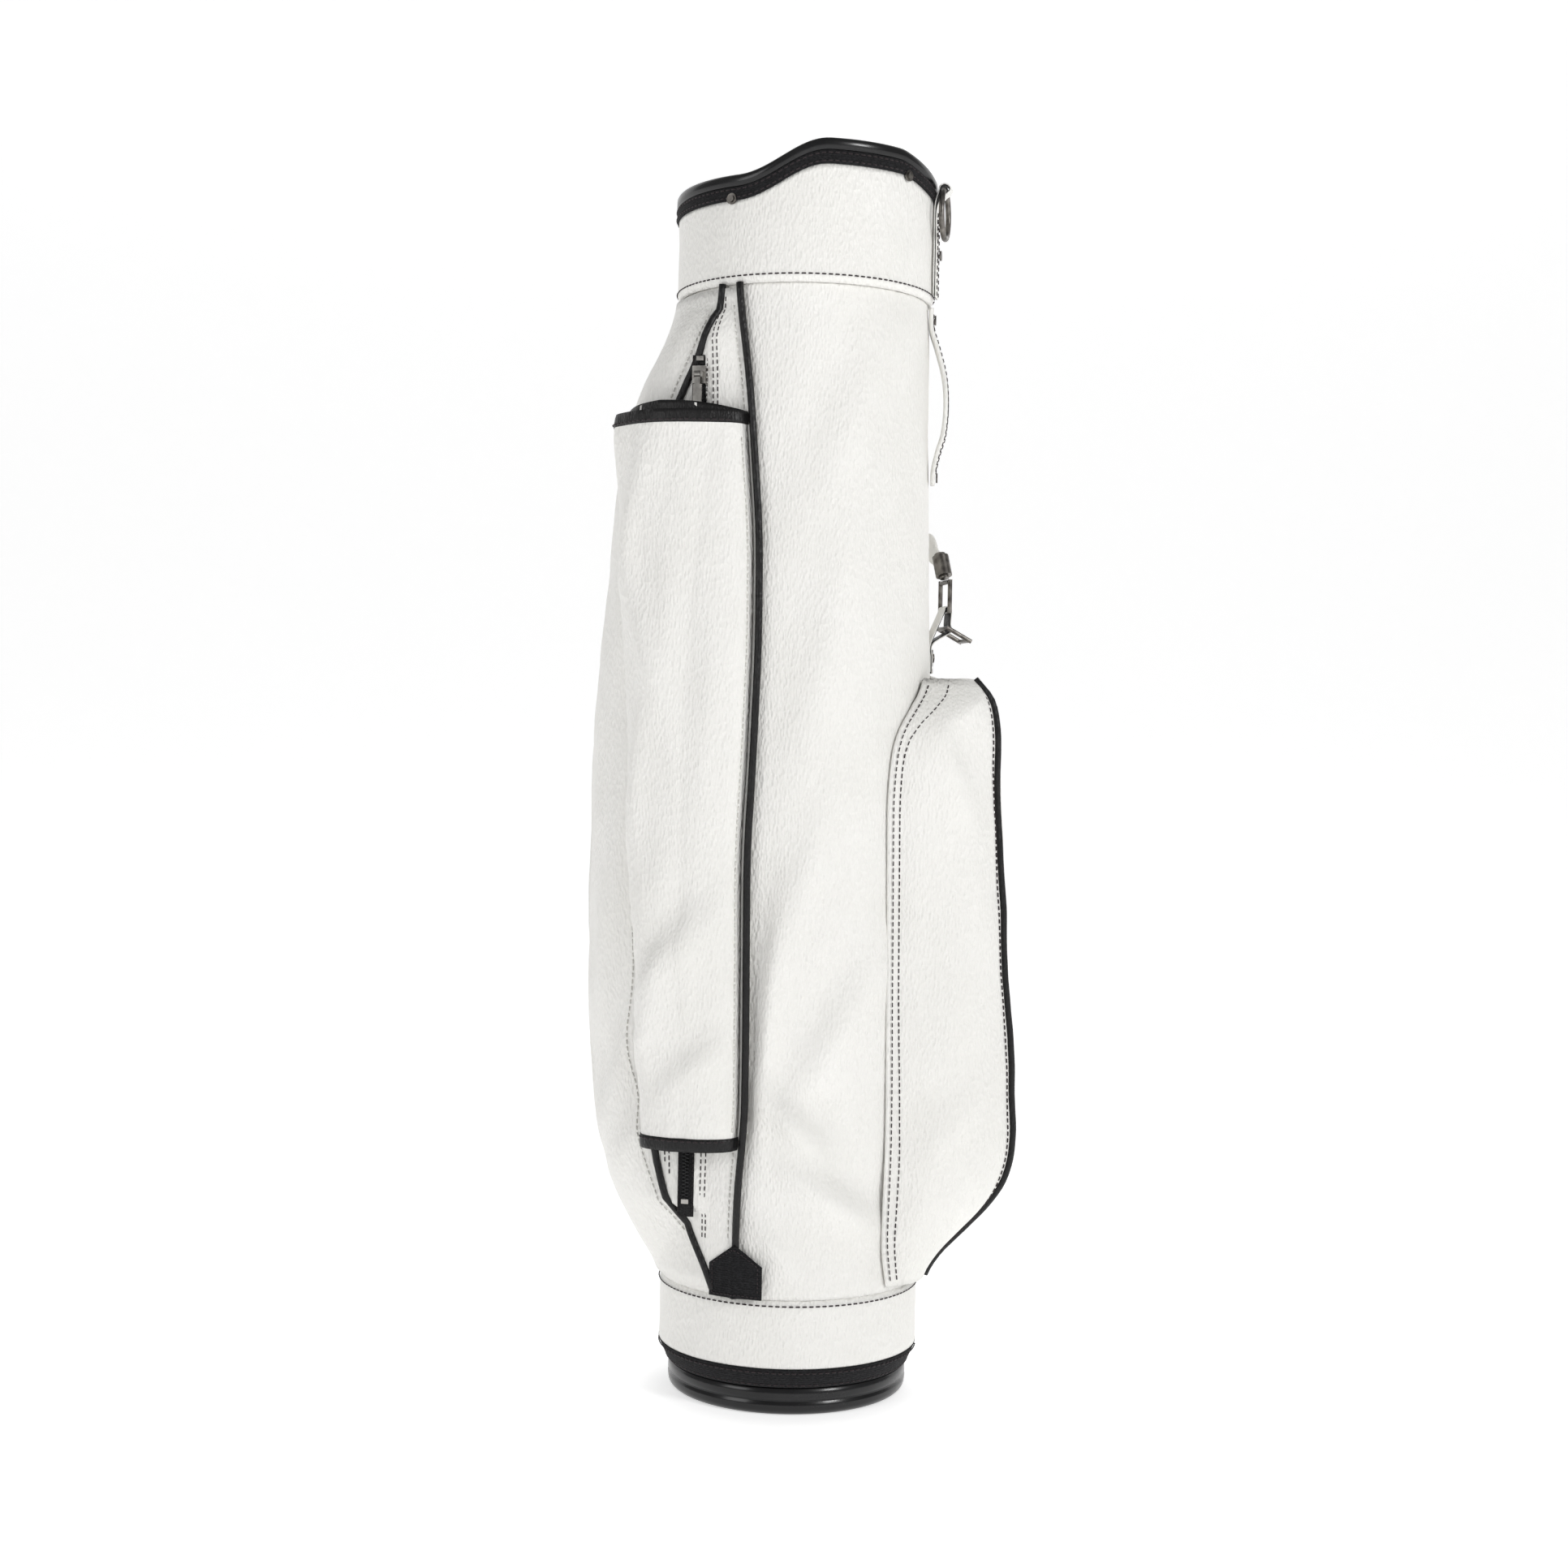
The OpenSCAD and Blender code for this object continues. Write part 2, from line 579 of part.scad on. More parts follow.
// A rectangular wire ring, its long bars along Y, from z0 to z1
module wire_ring(r, z0, z1, w, wire) {
    for (z = [z0, z1]) translate([r, 0, z]) rotate([90, 0, 0]) cylinder(r = wire, h = w, center = true);
    for (s = [-1, 1]) translate([r, s * (w / 2 + wire), z0 - wire]) cylinder(r = wire,
        h = z1 - z0 + 2 * wire);
}
wire_r = 1.6;
ring_w = 20;
chape_w = 16;
low_eye_z = 552;
high_eye_z = strap_high.z + 15;
spare_eye = [107, 539.5];
module strap_lower_chape() {
    color(white) on_side(chape_angle) difference() {
        union() {
            folded_tab(barrel_r_mid + 2 * gap, 508, 528, axis_r, low_eye_z, wire_r + hinge_play, chape_w);
            translate([spare_eye.x, 0, spare_eye.y]) rotate([90, 0, 0])
                cylinder(r = wire_r + tab_t, h = chape_w, center = true);
        }
        translate([spare_eye.x, 0, spare_eye.y]) rotate([90, 0, 0])
            cylinder(r = wire_r + hinge_play, h = 2 * chape_w, center = true);
    }
}
module strap_upper_chape() {
    color(white) on_side(upper_chape_angle) mirror([0, 0, 1])
        folded_tab(cuff_r + 2 * gap, -800, -778, axis_r, -high_eye_z, wire_r + hinge_play, chape_w);
}
module chape_rivets() {
    color(antique) {
        on_side(chape_angle) rivet(barrel_r_mid + 2 * gap + 2 * tab_t, 518);
        on_side(upper_chape_angle) rivet(cuff_r + 2 * gap + 2 * tab_t, 790);
    }
}
module strap_lower_ring() { color(antique) on_side(chape_angle) wire_ring(axis_r, low_eye_z, strap_low.z,
    ring_w, wire_r); }
module strap_upper_ring() { color(antique) on_side(upper_chape_angle) wire_ring(axis_r, strap_high.z,
    high_eye_z, ring_w, wire_r); }
spare_droop = 118;
module spare_ring() {
    color(antique) on_side(chape_angle) translate([spare_eye.x, 0, spare_eye.y]) rotate([0, spare_droop, 0])
        wire_ring(0, 0, 18, ring_w, wire_r);
}

// Shoulder strap and its swivels
pin_r = 2.5;
ferrule_r = 6;
pin_l = 18;
// Along the swivel axis, from each ring towards the other
swivel_lift = 3.2;
module at_swivels() {
    d = (strap_high - strap_low) / norm(strap_high - strap_low);
    for (from = [[strap_low, d], [strap_high, -d]])
        translate(from[0]) rotate([0, acos(from[1].z), atan2(from[1].y, from[1].x)])
            translate([0, 0, swivel_lift]) children();
}
module strap_swivel_pins() {
    color(antique) at_swivels() {
        cylinder(r = 3.4, h = 1.6);
        cylinder(r = pin_r, h = pin_l);
        translate([0, 0, pin_l]) cylinder(r = 4, h = 1.5);
    }
}
module strap_end_ferrules() {
    color(antique) at_swivels() translate([0, 0, 2]) difference() {
        cylinder(r = ferrule_r, h = pin_l - 2.5);
        translate([0, 0, -1]) cylinder(r = pin_r + hinge_play, h = pin_l);
    }
}
strap_taper = [0.16, 0.34, 0.42, 0.55, 0.85];
strap_thin = [0.35, 0.35, 0.35, 0.4, 0.8];
function strap_share(i, table) = let (k = min(i, len(strap_route) - 1 - i)) k < len(table) ? table[k] : 1;
module shoulder_strap() {
    color(white) flat_sweep(strap_route, [for (i = [0:len(strap_route) - 1]) strap_w * strap_share(i,
        strap_taper)],
        [for (i = [0:len(strap_route) - 1]) strap_t * strap_share(i, strap_thin)]);
}
module strap_adjuster() {
    p = strap_route[2] * 0.6 + strap_route[3] * 0.4;
    t = (strap_route[3] - strap_route[2]) / norm(strap_route[3] - strap_route[2]);
    w = cross(t, outward(p)) / norm(cross(t, outward(p)));
    n = cross(w, t);
    color(antique) multmatrix([[w.x, n.x, t.x, p.x], [w.y, n.y, t.y, p.y], [w.z, n.z, t.z, p.z]])
        difference() {
            cube([34, 8, 6], center = true);
            cube([28, 5.6, 10], center = true);
        }
}

base_cup();
base_pad();
base_binding();
bottom_cuff();
barrel_shell();
stay_rods();
base_rod_sockets();
collar_rod_sockets();
top_cuff();
top_webbing_band();
top_collar();
divider_cross_bar();
divider_half_bar();
cuff_snap_studs();
apparel_front_gusset();
apparel_outer_panel();
apparel_rear_gusset();
front_seam_piping();
rear_seam_piping();
front_edge_piping();
rear_edge_piping();
piping_end_patches();
apparel_zip_tape();
apparel_zip_teeth();
apparel_zip_stops();
apparel_zip_slider();
apparel_zip_puller();
umbrella_sleeve();
sleeve_top_binding();
sleeve_bottom_binding();
ball_front_gusset();
ball_outer_panel();
ball_rear_gusset();
ball_front_piping();
ball_rear_piping();
ball_zip_tape();
ball_zip_teeth();
ball_zip_slider();
ball_zip_puller();
ring_tab();
ring_tab_rivet();
towel_ring();
carry_handle();
handle_rivets();
strap_lower_chape();
strap_upper_chape();
chape_rivets();
strap_lower_ring();
strap_upper_ring();
spare_ring();
strap_swivel_pins();
strap_end_ferrules();
shoulder_strap();
strap_adjuster();
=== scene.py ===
import json
import math

import bpy
from mathutils import Matrix, Vector, noise


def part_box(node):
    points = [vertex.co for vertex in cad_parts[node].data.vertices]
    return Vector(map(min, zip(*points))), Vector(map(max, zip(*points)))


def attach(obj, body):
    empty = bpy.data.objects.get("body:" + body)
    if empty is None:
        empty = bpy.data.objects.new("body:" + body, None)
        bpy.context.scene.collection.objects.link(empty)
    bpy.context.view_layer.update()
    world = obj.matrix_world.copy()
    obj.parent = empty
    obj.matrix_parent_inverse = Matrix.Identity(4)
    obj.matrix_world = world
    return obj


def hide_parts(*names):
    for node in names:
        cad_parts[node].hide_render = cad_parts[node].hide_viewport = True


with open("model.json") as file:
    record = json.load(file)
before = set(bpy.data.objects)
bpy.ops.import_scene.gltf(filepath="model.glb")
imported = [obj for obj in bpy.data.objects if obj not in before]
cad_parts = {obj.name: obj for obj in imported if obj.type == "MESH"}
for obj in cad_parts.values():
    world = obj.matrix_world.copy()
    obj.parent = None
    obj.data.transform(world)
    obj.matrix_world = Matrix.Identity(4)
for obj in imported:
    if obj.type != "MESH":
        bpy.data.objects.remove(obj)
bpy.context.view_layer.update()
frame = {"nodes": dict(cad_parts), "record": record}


# ---- Sizes, from the frame ----

def low(node):
    return Vector(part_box(node)[0])


def high(node):
    return Vector(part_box(node)[1])


BARREL_Z0 = low("barrel_shell").z
BARREL_Z1 = high("barrel_shell").z
BAG_H = high("top_collar").z
BARREL_R = high("barrel_shell").x
CUFF_R = high("bottom_cuff").x
CUFF_Z0 = low("bottom_cuff").z
BASE_R = high("base_cup").x
SLEEVE_Z0 = low("umbrella_sleeve").z
SLEEVE_Z1 = high("umbrella_sleeve").z
BALL_Z0 = low("ball_outer_panel").z
BALL_Z1 = high("ball_outer_panel").z
APPAREL_Z0 = low("apparel_outer_panel").z
APPAREL_Z1 = high("apparel_outer_panel").z
PIPING_R = 0.0025
PIPING_SIDES = 12
CORNER_POWER = 2.6
BALL_CORNER_POWER = 4.2
BALL_HALF = 0.065
SHEET = 0.0018
COVER = 0.0022
OFF_BARREL = 0.0012


def lookup(z, table):
    """Straight-line reading of a short table of (height, value) rows."""
    if z <= table[0][0]:
        return table[0][1]
    for (z0, v0), (z1, v1) in zip(table, table[1:]):
        if z <= z1:
            return v0 + (v1 - v0) * (z - z0) / (z1 - z0)
    return table[-1][1]


def smooth(z, table, spread=0.012):
    """The table read with its corners rounded."""
    steps = (-1.0, -0.5, 0.0, 0.5, 1.0)
    return sum(lookup(z + s * spread, table) for s in steps) / len(steps)


# Outlines as (height, distance from the bag's axis)
BARREL = [(BARREL_Z0, BARREL_R - 0.003), (0.3, BARREL_R), (0.5, BARREL_R), (BARREL_Z1, BARREL_R - 0.0065)]
APPAREL = [(APPAREL_Z0, 0.090), (0.1, 0.101), (0.112, 0.109), (0.128, 0.116), (0.145, 0.1235), (0.165, 0.131),
           (0.183, 0.137), (0.24, 0.1405), (0.35, 0.1455), (0.45, 0.143), (0.52, 0.1385), (0.58, 0.134),
           (0.62, 0.1295), (0.66, 0.1235), (0.682, 0.1185), (0.706, 0.112), (0.718, 0.106), (0.728, 0.1),
           (0.74, 0.0945), (APPAREL_Z1, 0.0885)]
BALL = [(BALL_Z0, 0.092), (0.1, 0.103), (0.12, 0.123), (0.143, 0.144), (0.165, 0.153), (0.185, 0.156),
        (0.323, 0.146), (0.408, 0.142), (0.47, 0.14), (0.493, 0.134), (BALL_Z1, 0.118)]
# Seams as (height, X across the front), edges as (height, degrees from the pocket's middle)
SEAM_X = [(0.118, 0.035), (0.164, 0.034), (0.191, 0.0305), (0.246, 0.0305), (0.382, 0.032), (0.437, 0.0295),
          (0.519, 0.027), (0.595, 0.0275), (0.628, 0.03), (0.693, 0.035), (0.737, 0.0405), (0.766, 0.0445)]
EDGE_A = [(0.084, 60), (0.092, 57), (0.101, 51), (0.123, 43), (0.147, 37), (0.18, 35.5), (0.24, 32),
          (0.62, 31.5), (0.66, 35), (0.684, 38), (0.7, 40.3), (0.717, 45), (0.729, 48), (0.745, 50),
          (0.765, 51.5)]
BALL_SEAM_X = [(BALL_Z0, 0.066), (0.11, 0.062), (0.187, 0.064), (0.3, 0.0625), (0.42, 0.061), (0.452, 0.0635),
               (0.466, 0.0675), (0.478, 0.074), (0.488, 0.081), (BALL_Z1, 0.0865)]
BALL_EDGE_A = math.radians(14)
EASE_A = 0.2
# Creases worked into the fabric: middle, direction in degrees, length, width and depth
BARREL_CREASES = [((-0.017, 0.255), 86, 0.075, 0.008, 0.0051), ((0.002, 0.197), -48, 0.032, 0.013, 0.0084),
                  ((0.024, 0.15), -38, 0.036, 0.014, 0.0070), ((0.03, 0.26), 62, 0.06, 0.016, 0.0049),
                  ((0.0, 0.345), 74, 0.07, 0.014, 0.0038), ((0.02, 0.52), 80, 0.12, 0.02, 0.0029),
                  ((-0.01, 0.118), -55, 0.025, 0.01, 0.0046), ((0.035, 0.68), 70, 0.07, 0.018, 0.0027)]
POCKET_CREASES = [((-0.112, 0.24), 72, 0.06, 0.013, 0.0051), ((-0.1, 0.19), 60, 0.04, 0.012, 0.0035),
                  ((-0.125, 0.36), 84, 0.08, 0.012, 0.0041)]
BALL_CREASES = [((0.1, 0.44), -65, 0.04, 0.016, 0.0048), ((0.112, 0.3), 80, 0.08, 0.018, 0.0035),
                ((0.09, 0.18), 48, 0.05, 0.016, 0.0048), ((0.075, 0.13), 60, 0.04, 0.013, 0.0040)]
SLEEVE_CREASES = [((-0.1, 0.6), 76, 0.06, 0.012, 0.0059), ((-0.085, 0.52), -70, 0.06, 0.014, 0.0050),
                  ((-0.1, 0.4), 80, 0.09, 0.012, 0.0050), ((-0.075, 0.3), 55, 0.05, 0.013, 0.0070),
                  ((-0.09, 0.25), 60, 0.05, 0.012, 0.0059), ((-0.05, 0.24), 50, 0.03, 0.009, 0.0038)]
# Where the apparel zip stands, from the axis towards -X and towards the front
ZIP_X = 0.071
ZIP_Y = 0.072
ZIP_A = math.atan2(ZIP_Y, ZIP_X)


def barrel_r(z):
    """Barrel's radius at a height."""
    return smooth(z, BARREL)


def box_r(a, reach, half, power=CORNER_POWER):
    """Radius of a round-cornered box; a higher power makes its corners squarer."""
    c = abs(math.cos(a)) / reach
    s = abs(math.sin(a)) / half
    return (c ** power + s ** power) ** (-1 / power)


def apparel_half(z):
    """Half of the apparel pocket's width, so that its front corner passes through the zip."""
    foot_z, shoulder_z = 0.139, 0.728
    if z < foot_z:
        return lookup(z, [(APPAREL_Z0, 0.05), (foot_z, 0.077)])
    reach = max(smooth(z, APPAREL), 0.0945)
    half = ZIP_Y / (1 - (ZIP_X / reach) ** CORNER_POWER) ** (1 / CORNER_POWER)
    return half - 0.03 * min(1.0, max(0.0, (z - shoulder_z) / (APPAREL_Z1 - shoulder_z))) ** 1.5


def apparel_r(a, z):
    """Apparel pocket's radius at an angle, in radians, from -X."""
    flat = barrel_r(z) + OFF_BARREL
    near = min(1.0, max(0.0, (seam_a(z) - abs(a)) / EASE_A))
    box = box_r(a, smooth(z, APPAREL), apparel_half(z))
    return flat + max(0.0, box - flat) * near * near * (3 - 2 * near)


def ball_r(a, z):
    """Ball pocket's radius at an angle, in radians, from +X; its front corner is the squarer one."""
    power = lookup(a, [(-0.26, CORNER_POWER), (0.0, BALL_CORNER_POWER)])
    span = max(0.02, min(EASE_A, ball_seam_a(z) - BALL_EDGE_A))
    near = min(1.0, max(0.0, (ball_seam_a(z) - abs(a)) / span))
    box = box_r(a, smooth(z, BALL, 0.008), BALL_HALF, power)
    flat = barrel_r(z) + OFF_BARREL
    return max(flat, flat + (box - flat) * near * near * (3 - 2 * near))


def polar(side, a, r, z):
    """Point at a radius and an angle from side * X, turning towards the front."""
    return Vector((side * r * math.cos(a), -r * math.sin(a), z))


def folds(p, amp, wide, tall, seed=0.0):
    """Soft fabric waves, longer along the bag than round it."""
    q = Vector((p.x / wide + seed, p.y / wide, p.z / tall))
    return amp * (noise.noise(q) + 0.35 * noise.noise(q * 2.7))


def creases(p, table):
    """Ridges with a groove beside them, laid on the front where the fabric is pulled."""
    total = 0.0
    for (x, z), turn, length, width, depth in table:
        c, s = math.cos(math.radians(turn)), math.sin(math.radians(turn))
        dx, dz = p.x - x, p.z - z
        u, v = (dx * c + dz * s) / length, (dz * c - dx * s) / width
        if p.y < 0 and abs(u) < 2.5 and abs(v) < 3.5:
            ridge = math.exp(-v * v * 1.6)
            groove = 0.55 * math.exp(-(v - 1.3) ** 2)
            total += depth * math.exp(-u * u) * (ridge - groove)
    return total


# ---- Mesh helpers ----

def add(name, verts, faces, mat, slot, body="bag", subdiv=0, replaces=()):
    """A smooth-shaded piece that rides a body, standing for the CAD nodes it replaces, if any."""
    mesh = bpy.data.meshes.new(name)
    mesh.from_pydata([tuple(v) for v in verts], [], faces)
    mesh.update()
    for poly in mesh.polygons:
        poly.use_smooth = True
    obj = bpy.data.objects.new(name, mesh)
    bpy.context.scene.collection.objects.link(obj)
    obj.data.materials.append(mat)
    if subdiv:
        mod = obj.modifiers.new("smooth", "SUBSURF")
        mod.levels = mod.render_levels = subdiv
    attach(obj, body)
    if replaces:
        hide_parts(*replaces)
    return obj


def skin(rows, thick, inward, closed=False):
    """A sheet through rows of points, with its lining a thickness away along inward(point)."""
    n = len(rows[0])
    m = len(rows)
    outer = [p for row in rows for p in row]
    inner = [p + inward(p) * thick for p in outer]
    faces = []
    last = n if closed else n - 1
    for i in range(m - 1):
        for j in range(last):
            k = (j + 1) % n
            a, b, c, d = i * n + j, i * n + k, (i + 1) * n + k, (i + 1) * n + j
            faces.append((a, b, c, d))
            faces.append((d + m * n, c + m * n, b + m * n, a + m * n))
    rim = [(j, (j + 1) % n) for j in range(last)]
    for a, b in rim:
        faces.append((b, a, a + m * n, b + m * n))
        a, b = a + (m - 1) * n, b + (m - 1) * n
        faces.append((a, b, b + m * n, a + m * n))
    if not closed:
        for i in range(m - 1):
            a, b = i * n, (i + 1) * n
            faces.append((a, b, b + m * n, a + m * n))
            a, b = i * n + n - 1, (i + 1) * n + n - 1
            faces.append((b, a, a + m * n, b + m * n))
    return outer + inner, faces


def to_axis(p):
    return Vector((-p.x, -p.y, 0)).normalized()


def resample(points, step):
    """Points an even step apart along a line of points."""
    out = [points[0]]
    left = step
    for a, b in zip(points, points[1:]):
        length = (b - a).length
        at = left
        while at <= length:
            out.append(a.lerp(b, at / length))
            at += step
        left = at - length
    return out


def sweep(points, section, facing=None):
    """Rings of a section, given as (sideways, outward) pairs or a function of the share along.

    The section's outward side looks away from the bag's axis, or the way facing gives."""
    verts, faces = [], []
    count = len(points)
    for i, p in enumerate(points):
        t = (points[min(i + 1, count - 1)] - points[max(i - 1, 0)]).normalized()
        out = facing(t) if facing else -to_axis(p)
        w = t.cross(out).normalized()
        n = w.cross(t)
        shape = section(i / max(count - 1, 1)) if callable(section) else section
        verts += [p + w * s + n * o for s, o in shape]
    k = len(shape)
    for i in range(count - 1):
        j = i + 1
        for c in range(k):
            d = (c + 1) % k
            faces.append((i * k + c, i * k + d, j * k + d, j * k + c))
    faces.append(tuple(range(k - 1, -1, -1)))
    faces.append(tuple(range((count - 1) * k, count * k)))
    return verts, faces


def round_section(r):
    turns = [2 * math.pi * k / PIPING_SIDES for k in range(PIPING_SIDES)]
    return [(r * math.cos(a), r * math.sin(a)) for a in turns]


def merge(parts):
    verts, faces = [], []
    for v, f in parts:
        base = len(verts)
        verts += v
        faces += [tuple(i + base for i in face) for face in f]
    return verts, faces


def stitches(points, length=0.0034, pitch=0.0046, r=0.0005):
    """One small spindle for each stitch along a line of points."""
    taper, sunk = 0.12, 0.8
    parts = []
    dots = resample(points, pitch)
    for a, b in zip(dots, dots[1:]):
        t = (b - a).normalized()
        out = -to_axis(a)
        w = t.cross(out).normalized() * r
        n = w.cross(t).normalized() * r
        tip = t * length
        ring0 = [a + tip * taper + d for d in (w, n, -w, -n)]
        ring1 = [a + tip * (1 - taper) + d for d in (w, n, -w, -n)]
        verts = [a - n * sunk] + ring0 + ring1 + [a + tip - n * sunk]
        faces = [(0, 2, 1), (0, 3, 2), (0, 4, 3), (0, 1, 4), (9, 5, 6), (9, 6, 7), (9, 7, 8), (9, 8, 5)]
        faces += [(1 + q, 1 + (q + 1) % 4, 5 + (q + 1) % 4, 5 + q) for q in range(4)]
        parts.append((verts, faces))
    return merge(parts)


# ---- Materials ----

def blank(name, rough, metal=0.0, coat=0.0, sheen=0.0, specular=0.5):
    mat = bpy.data.materials.new(name)
    mat.use_nodes = True
    bsdf = mat.node_tree.nodes["Principled BSDF"]
    bsdf.inputs["Roughness"].default_value = rough
    bsdf.inputs["Metallic"].default_value = metal
    bsdf.inputs["Coat Weight"].default_value = coat
    bsdf.inputs["Coat Roughness"].default_value = 0.15
    bsdf.inputs["Sheen Weight"].default_value = sheen
    bsdf.inputs["Specular IOR Level"].default_value = specular
    coords = mat.node_tree.nodes.new("ShaderNodeTexCoord")
    return mat, mat.node_tree, bsdf, coords.outputs["Object"]


def stretched(tree, source, scale):
    """Object coordinates drawn out along one axis."""
    node = tree.nodes.new("ShaderNodeMapping")
    node.inputs["Scale"].default_value = scale
    tree.links.new(source, node.inputs["Vector"])
    return node.outputs["Vector"]


def noise_node(tree, source, scale, detail):
    node = tree.nodes.new("ShaderNodeTexNoise")
    node.inputs["Scale"].default_value = scale
    node.inputs["Detail"].default_value = detail
    tree.links.new(source, node.inputs["Vector"])
    return node.outputs["Fac"]


def cells(tree, source, scale):
    node = tree.nodes.new("ShaderNodeTexVoronoi")
    node.inputs["Scale"].default_value = scale
    tree.links.new(source, node.inputs["Vector"])
    return node.outputs["Distance"]


def ramp(tree, fac, stops):
    """A colour that runs through (place, colour) stops."""
    node = tree.nodes.new("ShaderNodeValToRGB")
    while len(node.color_ramp.elements) < len(stops):
        node.color_ramp.elements.new(0.5)
    for e, (at, colour) in zip(node.color_ramp.elements, stops):
        e.position = at
        e.color = (*colour, 1)
    tree.links.new(fac, node.inputs["Fac"])
    return node.outputs["Color"]


def bump(tree, bsdf, heights):
    """Heights are (socket, distance in metres, strength) from coarse to fine."""
    last = None
    for socket, distance, strength in heights:
        node = tree.nodes.new("ShaderNodeBump")
        node.inputs["Distance"].default_value = distance
        node.inputs["Strength"].default_value = strength
        tree.links.new(socket, node.inputs["Height"])
        if last:
            tree.links.new(last, node.inputs["Normal"])
        last = node.outputs["Normal"]
    tree.links.new(last, bsdf.inputs["Normal"])


def vary_roughness(tree, bsdf, fac, lo, hi):
    node = tree.nodes.new("ShaderNodeMapRange")
    node.inputs["To Min"].default_value = lo
    node.inputs["To Max"].default_value = hi
    tree.links.new(fac, node.inputs["Value"])
    tree.links.new(node.outputs["Result"], bsdf.inputs["Roughness"])


def leather(name, light, dark, rough, pebble, depth, coat=0.0, specular=0.5):
    """Pebbled grain over fine wrinkles, with pores and a cloudy tone."""
    mat, tree, bsdf, co = blank(name, rough, coat=coat, specular=specular)
    grain = stretched(tree, co, (1.0, 1.0, 0.42))
    pebbles = cells(tree, grain, pebble)
    wrinkles = noise_node(tree, stretched(tree, co, (1.0, 1.0, 0.3)), 480.0, 4.0)
    pores = noise_node(tree, co, 1700.0, 2.0)
    cloud = noise_node(tree, co, 14.0, 4.0)
    tree.links.new(ramp(tree, cloud, [(0.3, dark), (0.7, light)]), bsdf.inputs["Base Color"])
    vary_roughness(tree, bsdf, pebbles, rough - 0.08, rough + 0.12)
    bump(tree, bsdf, [(wrinkles, depth * 1.4, 0.3), (pebbles, depth, 0.75), (pores, depth * 0.4, 0.3)])
    return mat


def webbing(name, colour, pale, ribs=620.0):
    """Woven ribs with paler thread crowns."""
    mat, tree, bsdf, co = blank(name, 0.85, sheen=0.03, specular=0.15)
    weave = tree.nodes.new("ShaderNodeTexWave")
    weave.wave_type = "BANDS"
    weave.bands_direction = "Z"
    weave.inputs["Scale"].default_value = ribs / 3
    weave.inputs["Distortion"].default_value = 1.5
    tree.links.new(co, weave.inputs["Vector"])
    threads = cells(tree, stretched(tree, co, (1.0, 1.0, 1.6)), ribs)
    tree.links.new(ramp(tree, threads, [(0.1, colour), (0.8, pale)]), bsdf.inputs["Base Color"])
    bump(tree, bsdf, [(weave.outputs["Fac"], 0.0004, 0.6), (threads, 0.0004, 0.7)])
    return mat


def plastic(name, colour, rough, coat, texture=900.0, depth=0.00008):
    mat, tree, bsdf, co = blank(name, rough, coat=coat, specular=0.3)
    flow = noise_node(tree, co, 30.0, 4.0)
    fine = noise_node(tree, co, texture, 2.0)
    lighter = tuple(c * 1.5 + 0.004 for c in colour)
    tree.links.new(ramp(tree, flow, [(0.35, colour), (0.7, lighter)]), bsdf.inputs["Base Color"])
    vary_roughness(tree, bsdf, flow, max(rough - 0.06, 0.05), rough + 0.1)
    bump(tree, bsdf, [(fine, depth, 0.4)])
    return mat


def metal(name, dark, light, rough):
    """Patinated metal with fine brushed lines."""
    mat, tree, bsdf, co = blank(name, rough, metal=1.0)
    patina = noise_node(tree, co, 160.0, 6.0)
    lines = noise_node(tree, stretched(tree, co, (1.0, 1.0, 0.1)), 2200.0, 2.0)
    tree.links.new(ramp(tree, patina, [(0.35, dark), (0.65, light)]), bsdf.inputs["Base Color"])
    vary_roughness(tree, bsdf, patina, rough - 0.08, rough + 0.15)
    bump(tree, bsdf, [(patina, 0.0002, 0.25), (lines, 0.0001, 0.3)])
    return mat


def thread_material(name, colour, pale):
    mat, tree, bsdf, co = blank(name, 0.7, sheen=0.05, specular=0.3)
    twist = noise_node(tree, co, 2500.0, 2.0)
    tree.links.new(ramp(tree, twist, [(0.4, colour), (0.7, pale)]), bsdf.inputs["Base Color"])
    bump(tree, bsdf, [(twist, 0.0003, 0.8)])
    return mat


WHITE = leather("white_leatherette", (0.89, 0.88, 0.85), (0.85, 0.84, 0.805), 0.52, 560.0, 0.0009)
TRIM = leather("black_piping_leather", (0.010, 0.0095, 0.0098), (0.006, 0.0057, 0.006), 0.4, 800.0, 0.0005,
               0.05, 0.3)
LINING = webbing("dark_lining", (0.012, 0.012, 0.013), (0.03, 0.03, 0.033), 900.0)
WEB = webbing("black_webbing", (0.006, 0.006, 0.0065), (0.02, 0.02, 0.0215))
TAPE = webbing("zip_tape_weave", (0.007, 0.007, 0.0075), (0.024, 0.024, 0.025), 1200.0)
GLOSS = plastic("gloss_black_plastic", (0.004, 0.004, 0.0045), 0.24, 0.25)
MATTE = plastic("matte_black_plastic", (0.012, 0.012, 0.0125), 0.45, 0.0, 500.0, 0.0002)
FOAM = plastic("black_foam", (0.03, 0.03, 0.032), 0.9, 0.0, 700.0, 0.0006)
ROD = plastic("glass_fibre_rod", (0.04, 0.042, 0.045), 0.35, 0.4)
ANTIQUE = metal("antique_gunmetal", (0.09, 0.082, 0.075), (0.26, 0.245, 0.225), 0.34)
NICKEL = metal("brushed_nickel", (0.26, 0.25, 0.235), (0.45, 0.435, 0.41), 0.3)
THREAD = thread_material("dark_thread", (0.016, 0.010, 0.012), (0.06, 0.045, 0.048))
PALE_THREAD = thread_material("pale_thread", (0.70, 0.69, 0.65), (0.84, 0.83, 0.79))

SLOT_MATERIALS = {
    "leatherette_white": WHITE, "leather_black": TRIM, "webbing_black": WEB, "plastic_black": GLOSS,
    "plastic_inner": MATTE, "foam": FOAM, "stay_rod": ROD, "antique_metal": ANTIQUE, "nickel": NICKEL,
}


